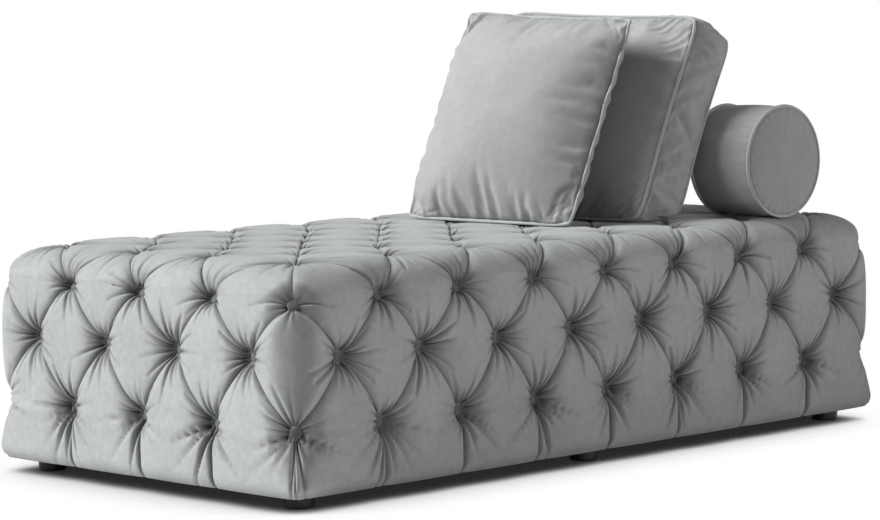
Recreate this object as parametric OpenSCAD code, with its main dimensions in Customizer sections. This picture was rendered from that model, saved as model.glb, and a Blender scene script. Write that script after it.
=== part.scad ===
// Deep-buttoned fainting couch. A tufted base on six round feet carries a scatter pillow,
// a boxed back cushion and a short bolster, which lift off. X runs along the couch to its
// head end, Y across it, Z up. The origin is on the floor under the middle of the base.

/* [Button lattice] */
// Button spacing along the couch
pitch_x = 205; // [190:1:225]
// Button spacing across the couch
pitch_y = 212; // [200:1:230]
// Button spaces along the couch
columns = 8; // [7:1:10]
// Button spaces across the couch
rows = 4; // [4:1:5]
// Height of the lower button row
low_z = 148; // [140:1:160]
// Height of the middle button row
mid_z = 281; // [270:1:290]
// Height of the upper button row
up_z = 383; // [375:1:395]
// Height of the top buttons
top_z = 439; // [430:1:450]
// Distance of the first top buttons from the side buttons
edge_inset = 82; // [76:1:90]

/* [Tufted cover] */
// Height of the hem over the floor
hem_z = 28; // [26:0.5:29]
// Bulge of a side puff past the buttons
side_puff = 38; // [30:1:45]
// Bulge of a top puff over the buttons
top_puff = 18; // [14:1:24]
// Flare of the hem past the buttons at a pleat
hem_flare = 23; // [12:1:28]
// Extra flare of the hem between pleats
hem_wave = 9; // [4:1:12]
// Padded cloth left under a button
cloth = 3; // [2.5:0.1:4]

/* [Covered buttons] */
// Diameter of a covered button
button_d = 24; // [20:1:28]
// Height of the button's dome over its rim
button_dome = 4; // [3:0.5:6]
// Diameter of the button twine
twine_d = 2; // [1.5:0.1:2.5]
// Diameter of the knot behind the washer
knot_d = 7; // [6:0.5:8]
// Diameter of the washer that the twine is tied to
washer_d = 18; // [14:1:22]
// Thickness of that washer
washer_t = 2; // [1.5:0.1:3]

/* [Frame] */
// Thickness of the side foam where the buttons pull it flat
side_foam = 15; // [12:1:16]
// Thickness of the plywood panels
panel_t = 15; // [12:1:18]
// Height of the frame's underside
frame_z = 30; // [30:0.5:32]
// Height of the panels' top edge
panel_top = 385; // [384:1:388]
// Thickness of the seat deck
deck_t = 12; // [9:1:15]
// Height of the deck's top
deck_top = 345; // [335:1:350]
// Side of a corner or centre post
post_w = 40; // [36:1:44]
// Width and height of a ledger
ledger = 30; // [24:1:30]
// Width of a cross rail
rail_w = 25; // [20:1:30]
// Height of a cross rail
rail_h = 60; // [45:1:70]
// Diameter of a frame screw's shank
screw_d = 4; // [3.5:0.1:5]
// Diameter of its countersunk head
screw_head_d = 8.5; // [8:0.1:10]
// Length of a frame screw
screw_l = 40; // [35:1:45]
// Thickness of the dust cover
dust_t = 1; // [0.8:0.1:1]

/* [Feet] */
// Diameter of a foot at its top
foot_d = 62; // [56:1:66]
// Diameter of a foot at the floor
foot_floor_d = 56; // [50:1:60]
// Radius of the foot's lower edge
foot_edge = 4; // [3:0.5:5]
// Diameter of the foot bolt
bolt_d = 8; // [6:0.5:8]
// Length of the foot bolt under its head
bolt_l = 36; // [32:1:40]
// Diameter of the bolt head
bolt_head_d = 13; // [12:0.5:15]
// Height of the bolt head
bolt_head_h = 5.3; // [4:0.1:6]

/* [Scatter pillow] */
// Width of the pillow from corner to corner
pillow_w = 482; // [440:1:520]
// Height of the pillow along its lean
pillow_h = 482; // [440:1:500]
// Thickness of the pillow at its crown
pillow_t = 172; // [140:1:190]
// Drop of its near top corner, as it sinks towards the near side, and rise of its far one
pillow_drop = 19; // [0:1:30]
pillow_rise = 1; // [0:1:10]
// Place of its bottom seam along the couch
pillow_x = 122; // [80:1:160]
// Place of its middle across the couch
pillow_y = 12; // [-40:1:40]

/* [Back cushion] */
// Width of the boxed cushion
back_w = 552; // [500:1:590]
// Height of its front face along the lean
back_h = 474; // [430:1:500]
// Width of its band
back_t = 112; // [95:1:130]
// Crown of its front face
back_crown = 44; // [30:1:55]
// Crown of its rear face
rear_crown = 26; // [15:1:35]
// Bulge of its band between the seams
band_crown = 4.5; // [4:0.5:8]
// Drop of its near top corner and rise of its far one
back_drop = 11; // [0:1:20]
back_rise = 5; // [0:1:10]
// Place of its middle across the couch
back_y = -12; // [-40:1:40]
// Lean of the pillow and the cushion from upright, in degrees
lean = 25; // [20:1:28]

/* [Bolster] */
// Diameter of the bolster's tube
bolster_d = 230; // [200:1:260]
// Length of the bolster between its piped seams
bolster_l = 158; // [130:1:180]
// Bulge of each end disc
end_dome = 9; // [4:1:14]
// Bulge of the tube at its middle
tube_crown = 3; // [1:0.5:5]
// Place of the near end disc across the couch
bolster_y = -408; // [-415:1:-390]

/* [Covers, piping and zips] */
// Thickness of the cushion cloth with its lining
cloth_t = 2; // [1.5:0.1:3]
// Diameter of the piping
piping_d = 7; // [5:0.5:8]
// Width of the zip's tape
zip_w = 11; // [9:0.5:12]
// Thickness of the zip's tape and teeth
zip_t = 1.6; // [1.2:0.1:2]
// Length of the zip slider
slider_l = 12; // [10:0.5:14]
// Width of the zip slider
slider_w = 8; // [7:0.5:9]
// Height of the slider with its folded puller
slider_h = 4; // [3:0.1:4.2]

/* [Hidden] */
// Gap between pieces that only rest on each other
rest_gap = 0.3;
// Gap between the pillow and the cushion that it leans on
lean_gap = 2;
// Gap between the flat of the cushion's rear face and the bolster, which its crown takes up
bolster_gap = 11;
// Running gap of a slider, a bolt or a screw
fit_gap = 0.1;
// Overrun of a cut past the face it leaves
over = 1;
// Gap all round the foam in its well, which leaves room for washers and knots
well_gap = 9;
// Diameter of the twine holes in board
twine_hole_d = 5;
// Diameter of the button holes in foam
foam_hole_d = 12;
// Diameter of the twine hole in a washer
washer_hole_d = 4.4;
// Diameter of the relief in a post round a washer
relief_d = 26;
// Wall of a T-nut's barrel
nut_wall = 1.2;
// Length of a T-nut's barrel
nut_l = 12;
// Diameter of a T-nut's flange
nut_flange_d = 20;
// Thickness of a T-nut's flange
nut_flange_t = 1.5;
// Depth of the pocket that holds a zip and its slider
zip_pocket = 9;
// Place of the pillow's zip behind its bottom seam
pillow_zip_set = 35;
// Place of the bolster's zip round its tube, in degrees
zip_angle = 45;

// How far the pleat valleys stand over the pits, as a share of the puff
valley_share = 0.6;
// How much lower a puff is where it turns a vertical corner
tuck_share = 0.5;
// How much steeper a button's underside is than the cover round it
seat_share = 1.17;
// Radii and heights of the turns of a button's dome
dome_shares = [[0.85, 0.65], [0.4, 1], [0, 1]];
// Depth of a foot's counterbore in heights of the foot, and its width in widths of the bolt head
bore_depth_share = 0.33;
bore_width_share = 1.25;
// How far up the upper row's buttons face, as a share of how far out
tilt_share = 0.6;
// How far a knife edge draws in between its corners
draw_share = 0.045;
// How square a crown is
crown_share = 0.42;
// Length of each zip along its edge
zip_length_share = 0.6;
// Width of a zip's teeth, in widths of its tape
teeth_share = 0.33;
// Height of a slider's body and width of its puller, in those of the slider
slider_body_share = 0.6;
puller_w_share = 0.6;
// Start and length of the puller along its slider
puller_start_share = 0.15;
puller_l_share = 0.8;
// Places across the band between which it bulges
band_shares = [0.25, 0.75];
// Places of the cross rails along the couch
rail_shares = [-0.45, -0.065, 0.45];
// Heights of the screws in a post
screw_shares = [0.25, 0.8];

// Grid steps to one button space, and rings of the side
q = 4;
side_rings = 6;
// Rings of the side that lie under the lower buttons
hem_rings = 2;
// Steps along an edge of a pad and of a filling, along the tube's side, and round a tube of piping
pad_n = 14;
fill_n = 8;
tube_steps = 8;
piping_sides = 6;
// Sides of a circle: large, of a hole, and small
fine = 48;
medium = 24;
small = 16;
// Sharpest mitre of the piping, as the share of its width that is left
mitre_share = 0.5;
// Power that keeps the slope of a cushion's top edge away from its bottom seam
slope_share = 1.5;

half_l = columns * pitch_x / 2;
half_w = rows * pitch_y / 2;
turns = 2 * (columns + rows);
seat_z = top_z + top_puff + rest_gap;
pit_slope = side_puff * puff(1 / q, 0) * q / min(pitch_x, pitch_y);
button_r = button_d / 2;
button_edge = seat_share * pit_slope * button_r;
panel_in = cloth + side_foam;
post_in = panel_in + panel_t;
foot_in = post_in + post_w / 2;
foot_h = frame_z - dust_t;
bolt_z = foot_h * bore_depth_share;
ledger_z = deck_top - deck_t - ledger;
piping_r = piping_d / 2;
fill_in = piping_r + rest_gap;
bolster_r = bolster_d / 2;
bolster_ring = bolster_r + piping_r / 2;
bolster_out = bolster_ring + piping_r;
back_x = pillow_x + (pillow_t / 2 + back_crown + lean_gap) / cos(lean);
bolster_x = back_x + (back_t + bolster_out + bolster_gap + bolster_out * sin(lean)) / cos(lean);
bolster_far = row_at(bolster_y + bolster_l);
bolster_z = max(
    roll_seat(bolster_x, bolster_out, bolster_far, bolster_far),
    roll_seat(bolster_x, bolster_r + tube_crown, 0.5, bolster_far)
);
pillow_seat = strip_seat(pillow_x - piping_r, pillow_x + pillow_zip_set);
pillow_place = [pillow_x, pillow_y, pillow_seat + piping_r];
back_place = [back_x, back_y, seat_z + piping_r];
chamfer_z = up_z - cloth;
chamfer_in = edge_inset + cloth;

velvet = [0.60, 0.61, 0.61];
velvet_dark = [0.50, 0.51, 0.51];
plywood = [0.78, 0.64, 0.44];
timber = [0.70, 0.54, 0.34];
foam = [0.90, 0.86, 0.70];
wadding = [0.94, 0.94, 0.92];
black = [0.06, 0.06, 0.06];
zinc = [0.70, 0.71, 0.72];
jute = [0.62, 0.52, 0.36];
zip_grey = [0.36, 0.37, 0.38];

// One tufted wave: zero at the pleats, one midway
function wave(x) = abs(sin(180 * x));
function held(x, low, high) = min(max(x, low), high);
function unit(v) = v / norm(v);
function mix(a, b, share) = a + (b - a) * share;

// Height of the cover over the button lattice, from none at a button to one at a puff's crown
function puff(a, b) =
    valley_share * max(wave(a + b), wave(a - b)) + (1 - valley_share) * wave(a + b) * wave(a - b);

// Point of the button rectangle after a spaces round it from the near corner of the foot end
function rim_point(a) =
    a <= columns ? [-half_l + a * pitch_x, -half_w]
    : a <= columns + rows ? [half_l, -half_w + (a - columns) * pitch_y]
    : a <= 2 * columns + rows ? [half_l - (a - columns - rows) * pitch_x, half_w]
    : [-half_l, half_w - (a - 2 * columns - rows) * pitch_y];

corner_places = [0, columns, columns + rows, 2 * columns + rows, turns];
function corner_distance(a) = min([for (c = corner_places) abs(a - c)]);
function corner_turn(a, c) = 90 * held(a - c + 0.5, 0, 1);
function rim_angle(a) = -180 + corner_turn(a, 0) + corner_turn(a, columns)
    + corner_turn(a, columns + rows) + corner_turn(a, 2 * columns + rows) + corner_turn(a, turns);
function tucked(a) = 1 - tuck_share * max(0, 1 - 2 * corner_distance(a));

// Sides of the cover: t is 0 at the lower row, 1 at the upper row and -0.5 at the hem
function side_z(t) =
    t < 0 ? mix(low_z, hem_z, -2 * t)
    : t < 0.5 ? mix(low_z, mid_z, 2 * t)
    : mix(mid_z, up_z, 2 * t - 1);
function side_normal(a, t) =
    unit([cos(rim_angle(a)), sin(rim_angle(a)), tilt_share * max(0, 2 * t - 1)]);
// Length that carries the outline to a square corner, as a share of its length along a face
function squared(a) = 1 / max(abs(cos(rim_angle(a))), abs(sin(rim_angle(a))));
function side_bulge(a, t) =
    t >= 0 ? side_puff * tucked(a) * puff(a, t)
    : mix(side_puff * tucked(a) * puff(a, 0), (hem_flare + hem_wave * wave(a)) * squared(a), -2 * t);
function side_vertex(a, t) =
    [rim_point(a)[0], rim_point(a)[1], side_z(t)] + side_bulge(a, t) * side_normal(a, t);

// Top of the cover: u and v count button spaces from the foot end and the near side
function edge_distance(u, v) = min(u, columns - u, v, rows - v);
function rolled(e, pitch) =
    e < 0.5 ? edge_inset * (1 - cos(180 * e)) : e < 1 ? mix(edge_inset, pitch, 2 * e - 1) : e * pitch;
function inset_along(e, pitch, cross_e) = mix(e * pitch, rolled(e, pitch), held(2 * cross_e, 0, 1));
function along(u, spaces, pitch, cross_e) =
    u <= spaces / 2 ? inset_along(u, pitch, cross_e) - spaces * pitch / 2
    : spaces * pitch / 2 - inset_along(spaces - u, pitch, cross_e);
function outward(u, spaces) =
    u < 0.5 ? -cos(180 * u) : spaces - u < 0.5 ? cos(180 * (spaces - u)) : 0;
function rise(u, v) = sin(180 * min(edge_distance(u, v), 0.5));
function top_normal(u, v) =
    unit([outward(u, columns), outward(v, rows), mix(tilt_share, 1, rise(u, v))]);
function top_point(u, v) = [
    along(u, columns, pitch_x, min(v, rows - v)),
    along(v, rows, pitch_y, min(u, columns - u)),
    mix(up_z, top_z, rise(u, v))
];
function top_bulge(u, v) =
    mix(side_puff, top_puff, held(2 * edge_distance(u, v), 0, 1)) * puff(u, v);
function top_vertex(u, v) = top_point(u, v) + top_bulge(u, v) * top_normal(u, v);

// Height of the faceted seat at a place of its inner part, in button spaces
function seat_height(u, v) =
    let (
        i = floor(u * q), j = floor(v * q), a = u * q - i, b = v * q - j,
        sw = top_vertex(i / q, j / q)[2], se = top_vertex((i + 1) / q, j / q)[2],
        nw = top_vertex(i / q, (j + 1) / q)[2], ne = top_vertex((i + 1) / q, (j + 1) / q)[2]
    )
    (i + j) % 2 == 0
        ? (a > b ? sw + a * (se - sw) + b * (ne - se) : sw + b * (nw - sw) + a * (ne - nw))
        : (a + b < 1 ? sw + a * (se - sw) + b * (nw - sw) : ne + (1 - a) * (nw - ne) + (1 - b) * (se - ne));
function column_at(x) = (x + half_l) / pitch_x;
function row_at(y) = mix(0.5, 1, (y + half_w - edge_inset) / (pitch_y - edge_inset));

// Level on which a strip between two places along the couch comes to rest
function strip_seat(x0, x1) = rest_gap + max([for (s = [0:1 / q:1]) for (v = [1:1 / (2 * q):rows - 1])
    seat_height(column_at(mix(x0, x1, s)), v)]);
// Height of the axis of a roll that comes to rest across the couch, over the rows v
function roll_seat(x, r, v0, v1) = rest_gap + max([for (a = [-30:3:30]) for (s = [0:1 / q:1])
    seat_height(column_at(x + r * sin(a)), mix(v0, v1, s)) + r * cos(a)]);

// Numbers of the cover's vertices: the top's grid, the side rings, then the inner corners
nx = q * columns;
ny = q * rows;
n_rim = q * turns;
n_top = (nx + 1) * (ny + 1);
n_inner = n_top + side_rings * n_rim;
function top_index(i, j) = j * (nx + 1) + i;
function rim_index(k) =
    k <= nx ? top_index(k, 0)
    : k <= nx + ny ? top_index(nx, k - nx)
    : k <= 2 * nx + ny ? top_index(2 * nx + ny - k, ny)
    : top_index(0, n_rim - k);
function ring_index(k, r) =
    r == side_rings ? rim_index(k % n_rim) : n_top + r * n_rim + k % n_rim;
function quad(a, b, c, d, main) = main ? [[a, b, c], [a, c, d]] : [[a, b, d], [b, c, d]];
function flat(lists) = [for (list = lists) for (item = list) item];
function turned(faces) = [for (f = faces) [f[2], f[1], f[0]]];
function corner(inset, z, c) = [
    (c == 1 || c == 2 ? 1 : -1) * (half_l - inset),
    (c >= 2 ? 1 : -1) * (half_w - inset),
    z
];

module tufted_shell() {
    vertices = concat(
        [for (j = [0:ny]) for (i = [0:nx]) top_vertex(i / q, j / q)],
        [for (r = [0:side_rings - 1]) for (k = [0:n_rim - 1]) side_vertex(k / q, (r - hem_rings) / q)],
        [for (c = [0:3]) corner(cloth, hem_z, c)],
        [for (c = [0:3]) corner(cloth, chamfer_z, c)],
        [for (c = [0:3]) corner(chamfer_in, top_z - cloth, c)]
    );
    top_faces = flat([for (j = [0:ny - 1]) for (i = [0:nx - 1])
        quad(top_index(i, j), top_index(i + 1, j), top_index(i + 1, j + 1), top_index(i, j + 1),
            (i + j) % 2 == 0)]);
    side_faces = flat([for (r = [0:side_rings - 1]) for (k = [0:n_rim - 1])
        quad(ring_index(k, r), ring_index(k + 1, r), ring_index(k + 1, r + 1), ring_index(k, r + 1),
            (k + r) % 2 == 0)]);
    rim_faces = flat([for (c = [0:3])
        let (from = q * corner_places[c], to = q * corner_places[c + 1], middle = (from + to) / 2,
            start = n_inner + c, end = n_inner + (c + 1) % 4)
        concat(
            [for (k = [from:to - 1]) [ring_index(k + 1, 0), ring_index(k, 0), k < middle ? start : end]],
            [[ring_index(middle, 0), start, end]]
        )]);
    wall_faces = flat([for (level = [0, 1]) for (c = [0:3])
        let (a = n_inner + 4 * level + c, b = n_inner + 4 * level + (c + 1) % 4)
        [[a, a + 4, b + 4], [a, b + 4, b]]]);
    lid = n_inner + 8;
    lid_faces = [[lid, lid + 3, lid + 2], [lid, lid + 2, lid + 1]];
    polyhedron(vertices, turned(concat(top_faces, side_faces, rim_faces, wall_faces, lid_faces)));
}

// Places of the buttons: [point, way it faces, way its twine runs out]
function side_button(a, t, twine_tilt) =
    let (n = side_normal(a, t), f = rim_angle(a), p = rim_point(a))
    [[p[0], p[1], side_z(t)], n, twine_tilt ? n : [cos(f), sin(f), 0]];
side_places = concat(
    [for (a = [0:turns - 1]) side_button(a, 0, false)],
    [for (a = [0:turns - 1]) side_button(a + 0.5, 0.5, false)],
    [for (a = [0:turns - 1]) side_button(a, 1, true)]
);
board_places = [for (b = side_places) if (!at_corner(b[0])) b];
function at_corner(p) = abs(p[0]) > half_l - fit_gap && abs(p[1]) > half_w - fit_gap;
function face_of(p) = p[1] < fit_gap - half_w ? 0 : p[1] > half_w - fit_gap ? 2 : p[0] > 0 ? 1 : 3;
top_places = concat(
    [for (i = [0:columns - 1]) for (j = [0:rows - 1]) top_point(i + 0.5, j + 0.5)],
    [for (i = [1:columns - 1]) for (j = [1:rows - 1]) top_point(i, j)]
);

// Turns a shape that stands up along Z so that it faces along n
module facing(n) {
    rotate([0, acos(n[2]), atan2(n[1], n[0])]) children();
}

module covered_button() {
    translate([0, 0, rest_gap]) rotate_extrude($fn = fine) polygon(concat(
        [[0, 0], [button_r, button_edge]],
        [for (s = dome_shares) [button_r * s[0], button_edge + button_dome * s[1]]]
    ));
}

module tufted_cover() {
    color(velvet) tufted_shell();
}

module top_buttons() {
    color(velvet_dark) for (p = top_places) translate(p) covered_button();
}

// Buttons of one face: the near and far faces own those on the vertical corners
module face_buttons(face) {
    spots = [for (b = side_places) if (face_of(b[0]) == face) b];
    color(velvet_dark) for (b = spots) translate(b[0]) facing(b[1]) covered_button();
}

// Twine from the button's tip through cloth, foam and board to its knot
module twine(depth) {
    translate([0, 0, -depth]) {
        cylinder(h = depth + rest_gap, d = twine_d, $fn = small);
        sphere(d = knot_d, $fn = small);
    }
}

module twine_washer() {
    difference() {
        cylinder(h = washer_t, d = washer_d, $fn = fine);
        translate([0, 0, -over]) cylinder(h = washer_t + 2 * over, d = washer_hole_d, $fn = medium);
    }
}

function slant(b) = norm([b[2][0], b[2][1]]);
top_depth = top_z - deck_top + deck_t + washer_t + knot_d / 2;
side_depth = post_in + washer_t + knot_d / 2;

module top_twines() {
    color(jute) for (p = top_places) translate(p) twine(top_depth);
}

// The eight corner buttons are tied off on the panels' outer corner
module corner_twine(depth) {
    translate([0, 0, -depth]) cylinder(h = depth + rest_gap, d = twine_d, $fn = small);
}

module side_twines() {
    color(jute) for (b = side_places) translate(b[0]) facing(b[2])
        if (at_corner(b[0])) corner_twine(norm([panel_in, panel_in]) / slant(b) - rest_gap);
        else twine(side_depth / slant(b));
}

module top_washers() {
    color(zinc) for (p = top_places)
        translate([p[0], p[1], deck_top - deck_t - washer_t]) twine_washer();
}

// Where a board button's twine leaves the panel, on its inner face
function inner_spot(b) = b[0] - b[2] * post_in / slant(b);
module side_washers() {
    color(zinc) for (b = board_places)
        translate(inner_spot(b)) facing(-[b[2][0], b[2][1], 0] / slant(b)) twine_washer();
}

module twine_holes(d, depth) {
    for (b = board_places)
        translate(b[0]) facing(b[2])
            translate([0, 0, -depth / slant(b)]) cylinder(h = depth / slant(b) + over, d = d, $fn = medium);
}

module box_between(low, high) {
    translate(low) cube(high - low);
}

module seat_foam() {
    low_in = post_in + well_gap;
    slope_share = (panel_top - chamfer_z) / (top_z - cloth - chamfer_z);
    base_in = mix(cloth, chamfer_in, slope_share);
    color(foam) difference() {
        union() {
            box_between(
                [-half_l + low_in, -half_w + low_in, deck_top],
                [half_l - low_in, half_w - low_in, panel_top]
            );
            polyhedron(
                [for (level = [[base_in, panel_top], [chamfer_in, top_z - cloth]])
                    for (c = [0:3]) corner(level[0], level[1], c)],
                [[0, 1, 2, 3], [7, 6, 5, 4], [4, 5, 1, 0], [5, 6, 2, 1], [6, 7, 3, 2], [7, 4, 0, 3]]
            );
        }
        for (p = top_places) translate([p[0], p[1], deck_top - over])
            cylinder(h = top_z - deck_top + over, d = foam_hole_d, $fn = medium);
    }
}

module side_foam_slab(side) {
    color(foam) difference() {
        mirror([0, side, 0]) box_between(
            [-half_l + cloth, -half_w + cloth, frame_z],
            [half_l - cloth, -half_w + panel_in, chamfer_z]
        );
        twine_holes(foam_hole_d, post_in);
    }
}

module end_foam_slab(end) {
    color(foam) difference() {
        mirror([end, 0, 0]) box_between(
            [-half_l + cloth, -half_w + panel_in, frame_z],
            [-half_l + panel_in, half_w - panel_in, chamfer_z]
        );
        twine_holes(foam_hole_d, post_in);
    }
}

module seat_deck() {
    color(plywood) difference() {
        box_between(
            [-half_l + post_in, -half_w + post_in, deck_top - deck_t],
            [half_l - post_in, half_w - post_in, deck_top]
        );
        for (p = top_places)
            translate([p[0], p[1], deck_top - deck_t - over])
                cylinder(h = deck_t + 2 * over, d = twine_hole_d, $fn = medium);
    }
}

// Posts: [x, y, height] of each corner and centre post, and which way it meets a panel
corner_x = half_l - foot_in;
corner_y = half_w - foot_in;
post_h = deck_top - deck_t - frame_z;
centre_post_h = ledger_z - frame_z;
function post_x(end) = (end - 1) * corner_x;
function post_y(side) = (2 * side - 1) * corner_y;

// A frame screw with its head at the origin, driven along -Z
module frame_screw(shank_d, head_d) {
    head_h = (head_d - shank_d) / 2;
    translate([0, 0, -screw_l]) cylinder(h = screw_l, d = shank_d, $fn = medium);
    translate([0, 0, -head_h]) cylinder(h = head_h, d1 = shank_d, d2 = head_d, $fn = medium);
}

module screw_set(shank_d, head_d) {
    for (side = [0, 1]) for (end = [0, 1, 2]) for (share = screw_shares) {
        z = frame_z + share * (end == 1 ? centre_post_h : post_h);
        lift = end == 1 ? 0 : post_w / 4;
        translate([post_x(end), (2 * side - 1) * (half_w - panel_in), z])
            facing([0, 2 * side - 1, 0]) frame_screw(shank_d, head_d);
        if (end != 1) translate([(end - 1) * (half_l - panel_in), post_y(side), z - lift])
            facing([end - 1, 0, 0]) frame_screw(shank_d, head_d);
    }
}

module frame_screws() {
    color(zinc) screw_set(screw_d, screw_head_d);
}

module side_panel(side) {
    color(plywood) difference() {
        mirror([0, side, 0]) box_between(
            [-half_l + panel_in, -half_w + panel_in, frame_z],
            [half_l - panel_in, -half_w + post_in, panel_top]
        );
        twine_holes(twine_hole_d, post_in + over);
        screw_set(screw_d + 2 * fit_gap, screw_head_d + 2 * fit_gap);
    }
}

module end_panel(end) {
    color(plywood) difference() {
        mirror([end, 0, 0]) box_between(
            [-half_l + panel_in, -half_w + post_in, frame_z],
            [-half_l + post_in, half_w - post_in, panel_top]
        );
        twine_holes(twine_hole_d, post_in + over);
        screw_set(screw_d + 2 * fit_gap, screw_head_d + 2 * fit_gap);
    }
}

module nut_seat() {
    translate([0, 0, -over]) cylinder(h = over + nut_flange_t, d = nut_flange_d + 2 * fit_gap, $fn = fine);
    barrel_d = bolt_d + 2 * nut_wall + 2 * fit_gap;
    translate([0, 0, -over]) cylinder(h = over + bolt_l, d = barrel_d, $fn = fine);
}

module post(end, side, h) {
    color(timber) difference() {
        translate([post_x(end) - post_w / 2, post_y(side) - post_w / 2, frame_z]) cube([post_w, post_w, h]);
        translate([post_x(end), post_y(side), frame_z]) nut_seat();
        screw_set(screw_d, screw_d);
        for (b = board_places)
            translate(inner_spot(b)) facing([b[2][0], b[2][1], 0] / slant(b))
                translate([0, 0, -well_gap]) cylinder(h = well_gap + over, d = relief_d, $fn = fine);
    }
}

module centre_stretcher() {
    color(timber) box_between(
        [-rail_w / 2, -corner_y + post_w / 2, frame_z],
        [rail_w / 2, corner_y - post_w / 2, frame_z + rail_h]
    );
}

module side_ledgers() {
    color(timber) for (side = [0, 1]) mirror([0, side, 0]) box_between(
        [-half_l + post_in + post_w, -half_w + post_in, ledger_z],
        [half_l - post_in - post_w, -half_w + post_in + ledger, ledger_z + ledger]
    );
}

module end_ledgers() {
    color(timber) for (end = [0, 1]) mirror([end, 0, 0]) box_between(
        [-half_l + post_in, -half_w + post_in + post_w, ledger_z],
        [-half_l + post_in + ledger, half_w - post_in - post_w, ledger_z + ledger]
    );
}

module cross_rail(place_share) {
    x = place_share * half_l;
    reach = half_w - post_in - ledger;
    color(timber) box_between(
        [x - rail_w / 2, -reach, deck_top - deck_t - rail_h],
        [x + rail_w / 2, reach, deck_top - deck_t]
    );
}

module dust_cover() {
    color(black) difference() {
        box_between(
            [-half_l + cloth + over, -half_w + cloth + over, foot_h],
            [half_l - cloth - over, half_w - cloth - over, frame_z]
        );
        for (side = [0, 1]) for (end = [0:2])
            translate([post_x(end), post_y(side), foot_h - over])
                cylinder(h = dust_t + 2 * over, d = bolt_d + 2 * fit_gap, $fn = fine);
    }
}

module foot(end, side) {
    r = foot_d / 2;
    edge_r = foot_floor_d / 2 - foot_edge;
    color(black) translate([post_x(end), post_y(side), 0]) difference() {
        rotate_extrude($fn = fine) polygon(concat(
            [[0, 0]],
            [for (a = [-90:15:0]) [edge_r + foot_edge * cos(a), foot_edge + foot_edge * sin(a)]],
            [[r, foot_h], [0, foot_h]]
        ));
        translate([0, 0, -over]) cylinder(h = foot_h + 2 * over, d = bolt_d + 2 * fit_gap, $fn = fine);
        translate([0, 0, -over])
            cylinder(h = over + bolt_z + bolt_head_h, d = bolt_head_d * bore_width_share, $fn = fine);
    }
}

module foot_bolts() {
    color(zinc) for (side = [0, 1]) for (end = [0:2])
        translate([post_x(end), post_y(side), bolt_z]) {
            cylinder(h = bolt_head_h, d = bolt_head_d, $fn = 6);
            cylinder(h = bolt_head_h + bolt_l, d = bolt_d, $fn = fine);
        }
}

module foot_t_nuts() {
    color(zinc) for (side = [0, 1]) for (end = [0:2])
        translate([post_x(end), post_y(side), frame_z]) difference() {
            union() {
                cylinder(h = nut_flange_t, d = nut_flange_d, $fn = fine);
                cylinder(h = nut_l, d = bolt_d + 2 * nut_wall, $fn = fine);
            }
            translate([0, 0, -over]) cylinder(h = nut_l + 2 * over, d = bolt_d + fit_gap, $fn = fine);
        }
}

// A leaning point: w across the couch, h up the lean and n back from the front face
function leaning(w, h, n, place) =
    place + [h * sin(lean) + n * cos(lean), w, h * cos(lean) - n * sin(lean)];
// Grid share from -1 to 1 that crowds towards the edges
function spread(i, n) = sin(180 * i / n - 90);
function crown(u, v) = pow(max(0, (1 - u * u) * (1 - v * v)), crown_share);
function drawn_w(u, v, w) = w / 2 * u * (1 - draw_share * (1 - v * v));
function drawn_h(u, v, h) = h / 2 * (1 + v * (1 - (v > 0 ? draw_share * (1 - u * u) : 0)));
// Slope of a top edge: nothing at the bottom seam, all of the drop and the rise at the top corners
function sloped(u, v, drop, raised) = mix(-drop, raised, (1 + u) / 2) * pow((1 + v) / 2, slope_share);
function pillow_h_at(u, v, less) =
    less + drawn_h(u, v, pillow_h - 2 * less) + sloped(u, v, pillow_drop, pillow_rise);

// A point kept at or over a level, which flattens what would sink into the seat
function resting(p, level) = [p[0], p[1], max(p[2], level)];

// Knife-edge pad of n by n facets a face, made smaller all round by less, flat at a level
module knife_edge_pad(n, less, level) {
    function at(i, j, face) =
        let (u = spread(i, n), v = spread(j, n))
        resting(leaning(drawn_w(u, v, pillow_w - 2 * less), pillow_h_at(u, v, less),
            face * (pillow_t / 2 - less) * crown(u, v), pillow_place), level);
    function front(i, j) = j * (n + 1) + i;
    function rear(i, j) =
        i == 0 || j == 0 || i == n || j == n ? front(i, j) : (n + 1) * (n + 1) + (j - 1) * (n - 1) + i - 1;
    vertices = concat(
        [for (j = [0:n]) for (i = [0:n]) at(i, j, -1)],
        [for (j = [1:n - 1]) for (i = [1:n - 1]) at(i, j, 1)]
    );
    main = [for (j = [0:n - 1]) for (i = [0:n - 1]) (i < n / 2) == (j < n / 2)];
    faces = flat([for (j = [0:n - 1]) for (i = [0:n - 1]) concat(
        turned(quad(front(i, j), front(i + 1, j), front(i + 1, j + 1), front(i, j + 1), main[j * n + i])),
        quad(rear(i, j), rear(i + 1, j), rear(i + 1, j + 1), rear(i, j + 1), main[j * n + i])
    )]);
    polyhedron(vertices, turned(faces));
}

// Length of a zip set along an edge
function zip_length(edge) = edge * zip_length_share;

// A zip closes the slit in the bottom of a cushion, and its slider hangs inside the slit
module zip_slit(x, y, level, edge) {
    l = zip_length(edge);
    box_between(
        [x - zip_w / 2 - fit_gap, y - l / 2 - fit_gap, level - over],
        [x + zip_w / 2 + fit_gap, y + l / 2 + fit_gap, level + zip_pocket + over]
    );
}

module zip_band(l) {
    teeth_w = zip_w * teeth_share;
    translate([-zip_w / 2, -l / 2, zip_t / 2]) cube([zip_w, l, zip_t / 2]);
    translate([-teeth_w / 2, -l / 2, 0]) cube([teeth_w, l, zip_t]);
}

// Slider under the band, its puller folded flat
module slider_body() {
    body_h = slider_h * slider_body_share;
    puller_w = slider_w * puller_w_share;
    translate([-slider_w / 2, 0, -body_h]) cube([slider_w, slider_l, body_h]);
    translate([-puller_w / 2, slider_l * puller_start_share, -slider_h])
        cube([puller_w, slider_l * puller_l_share, slider_h - body_h]);
}

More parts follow.
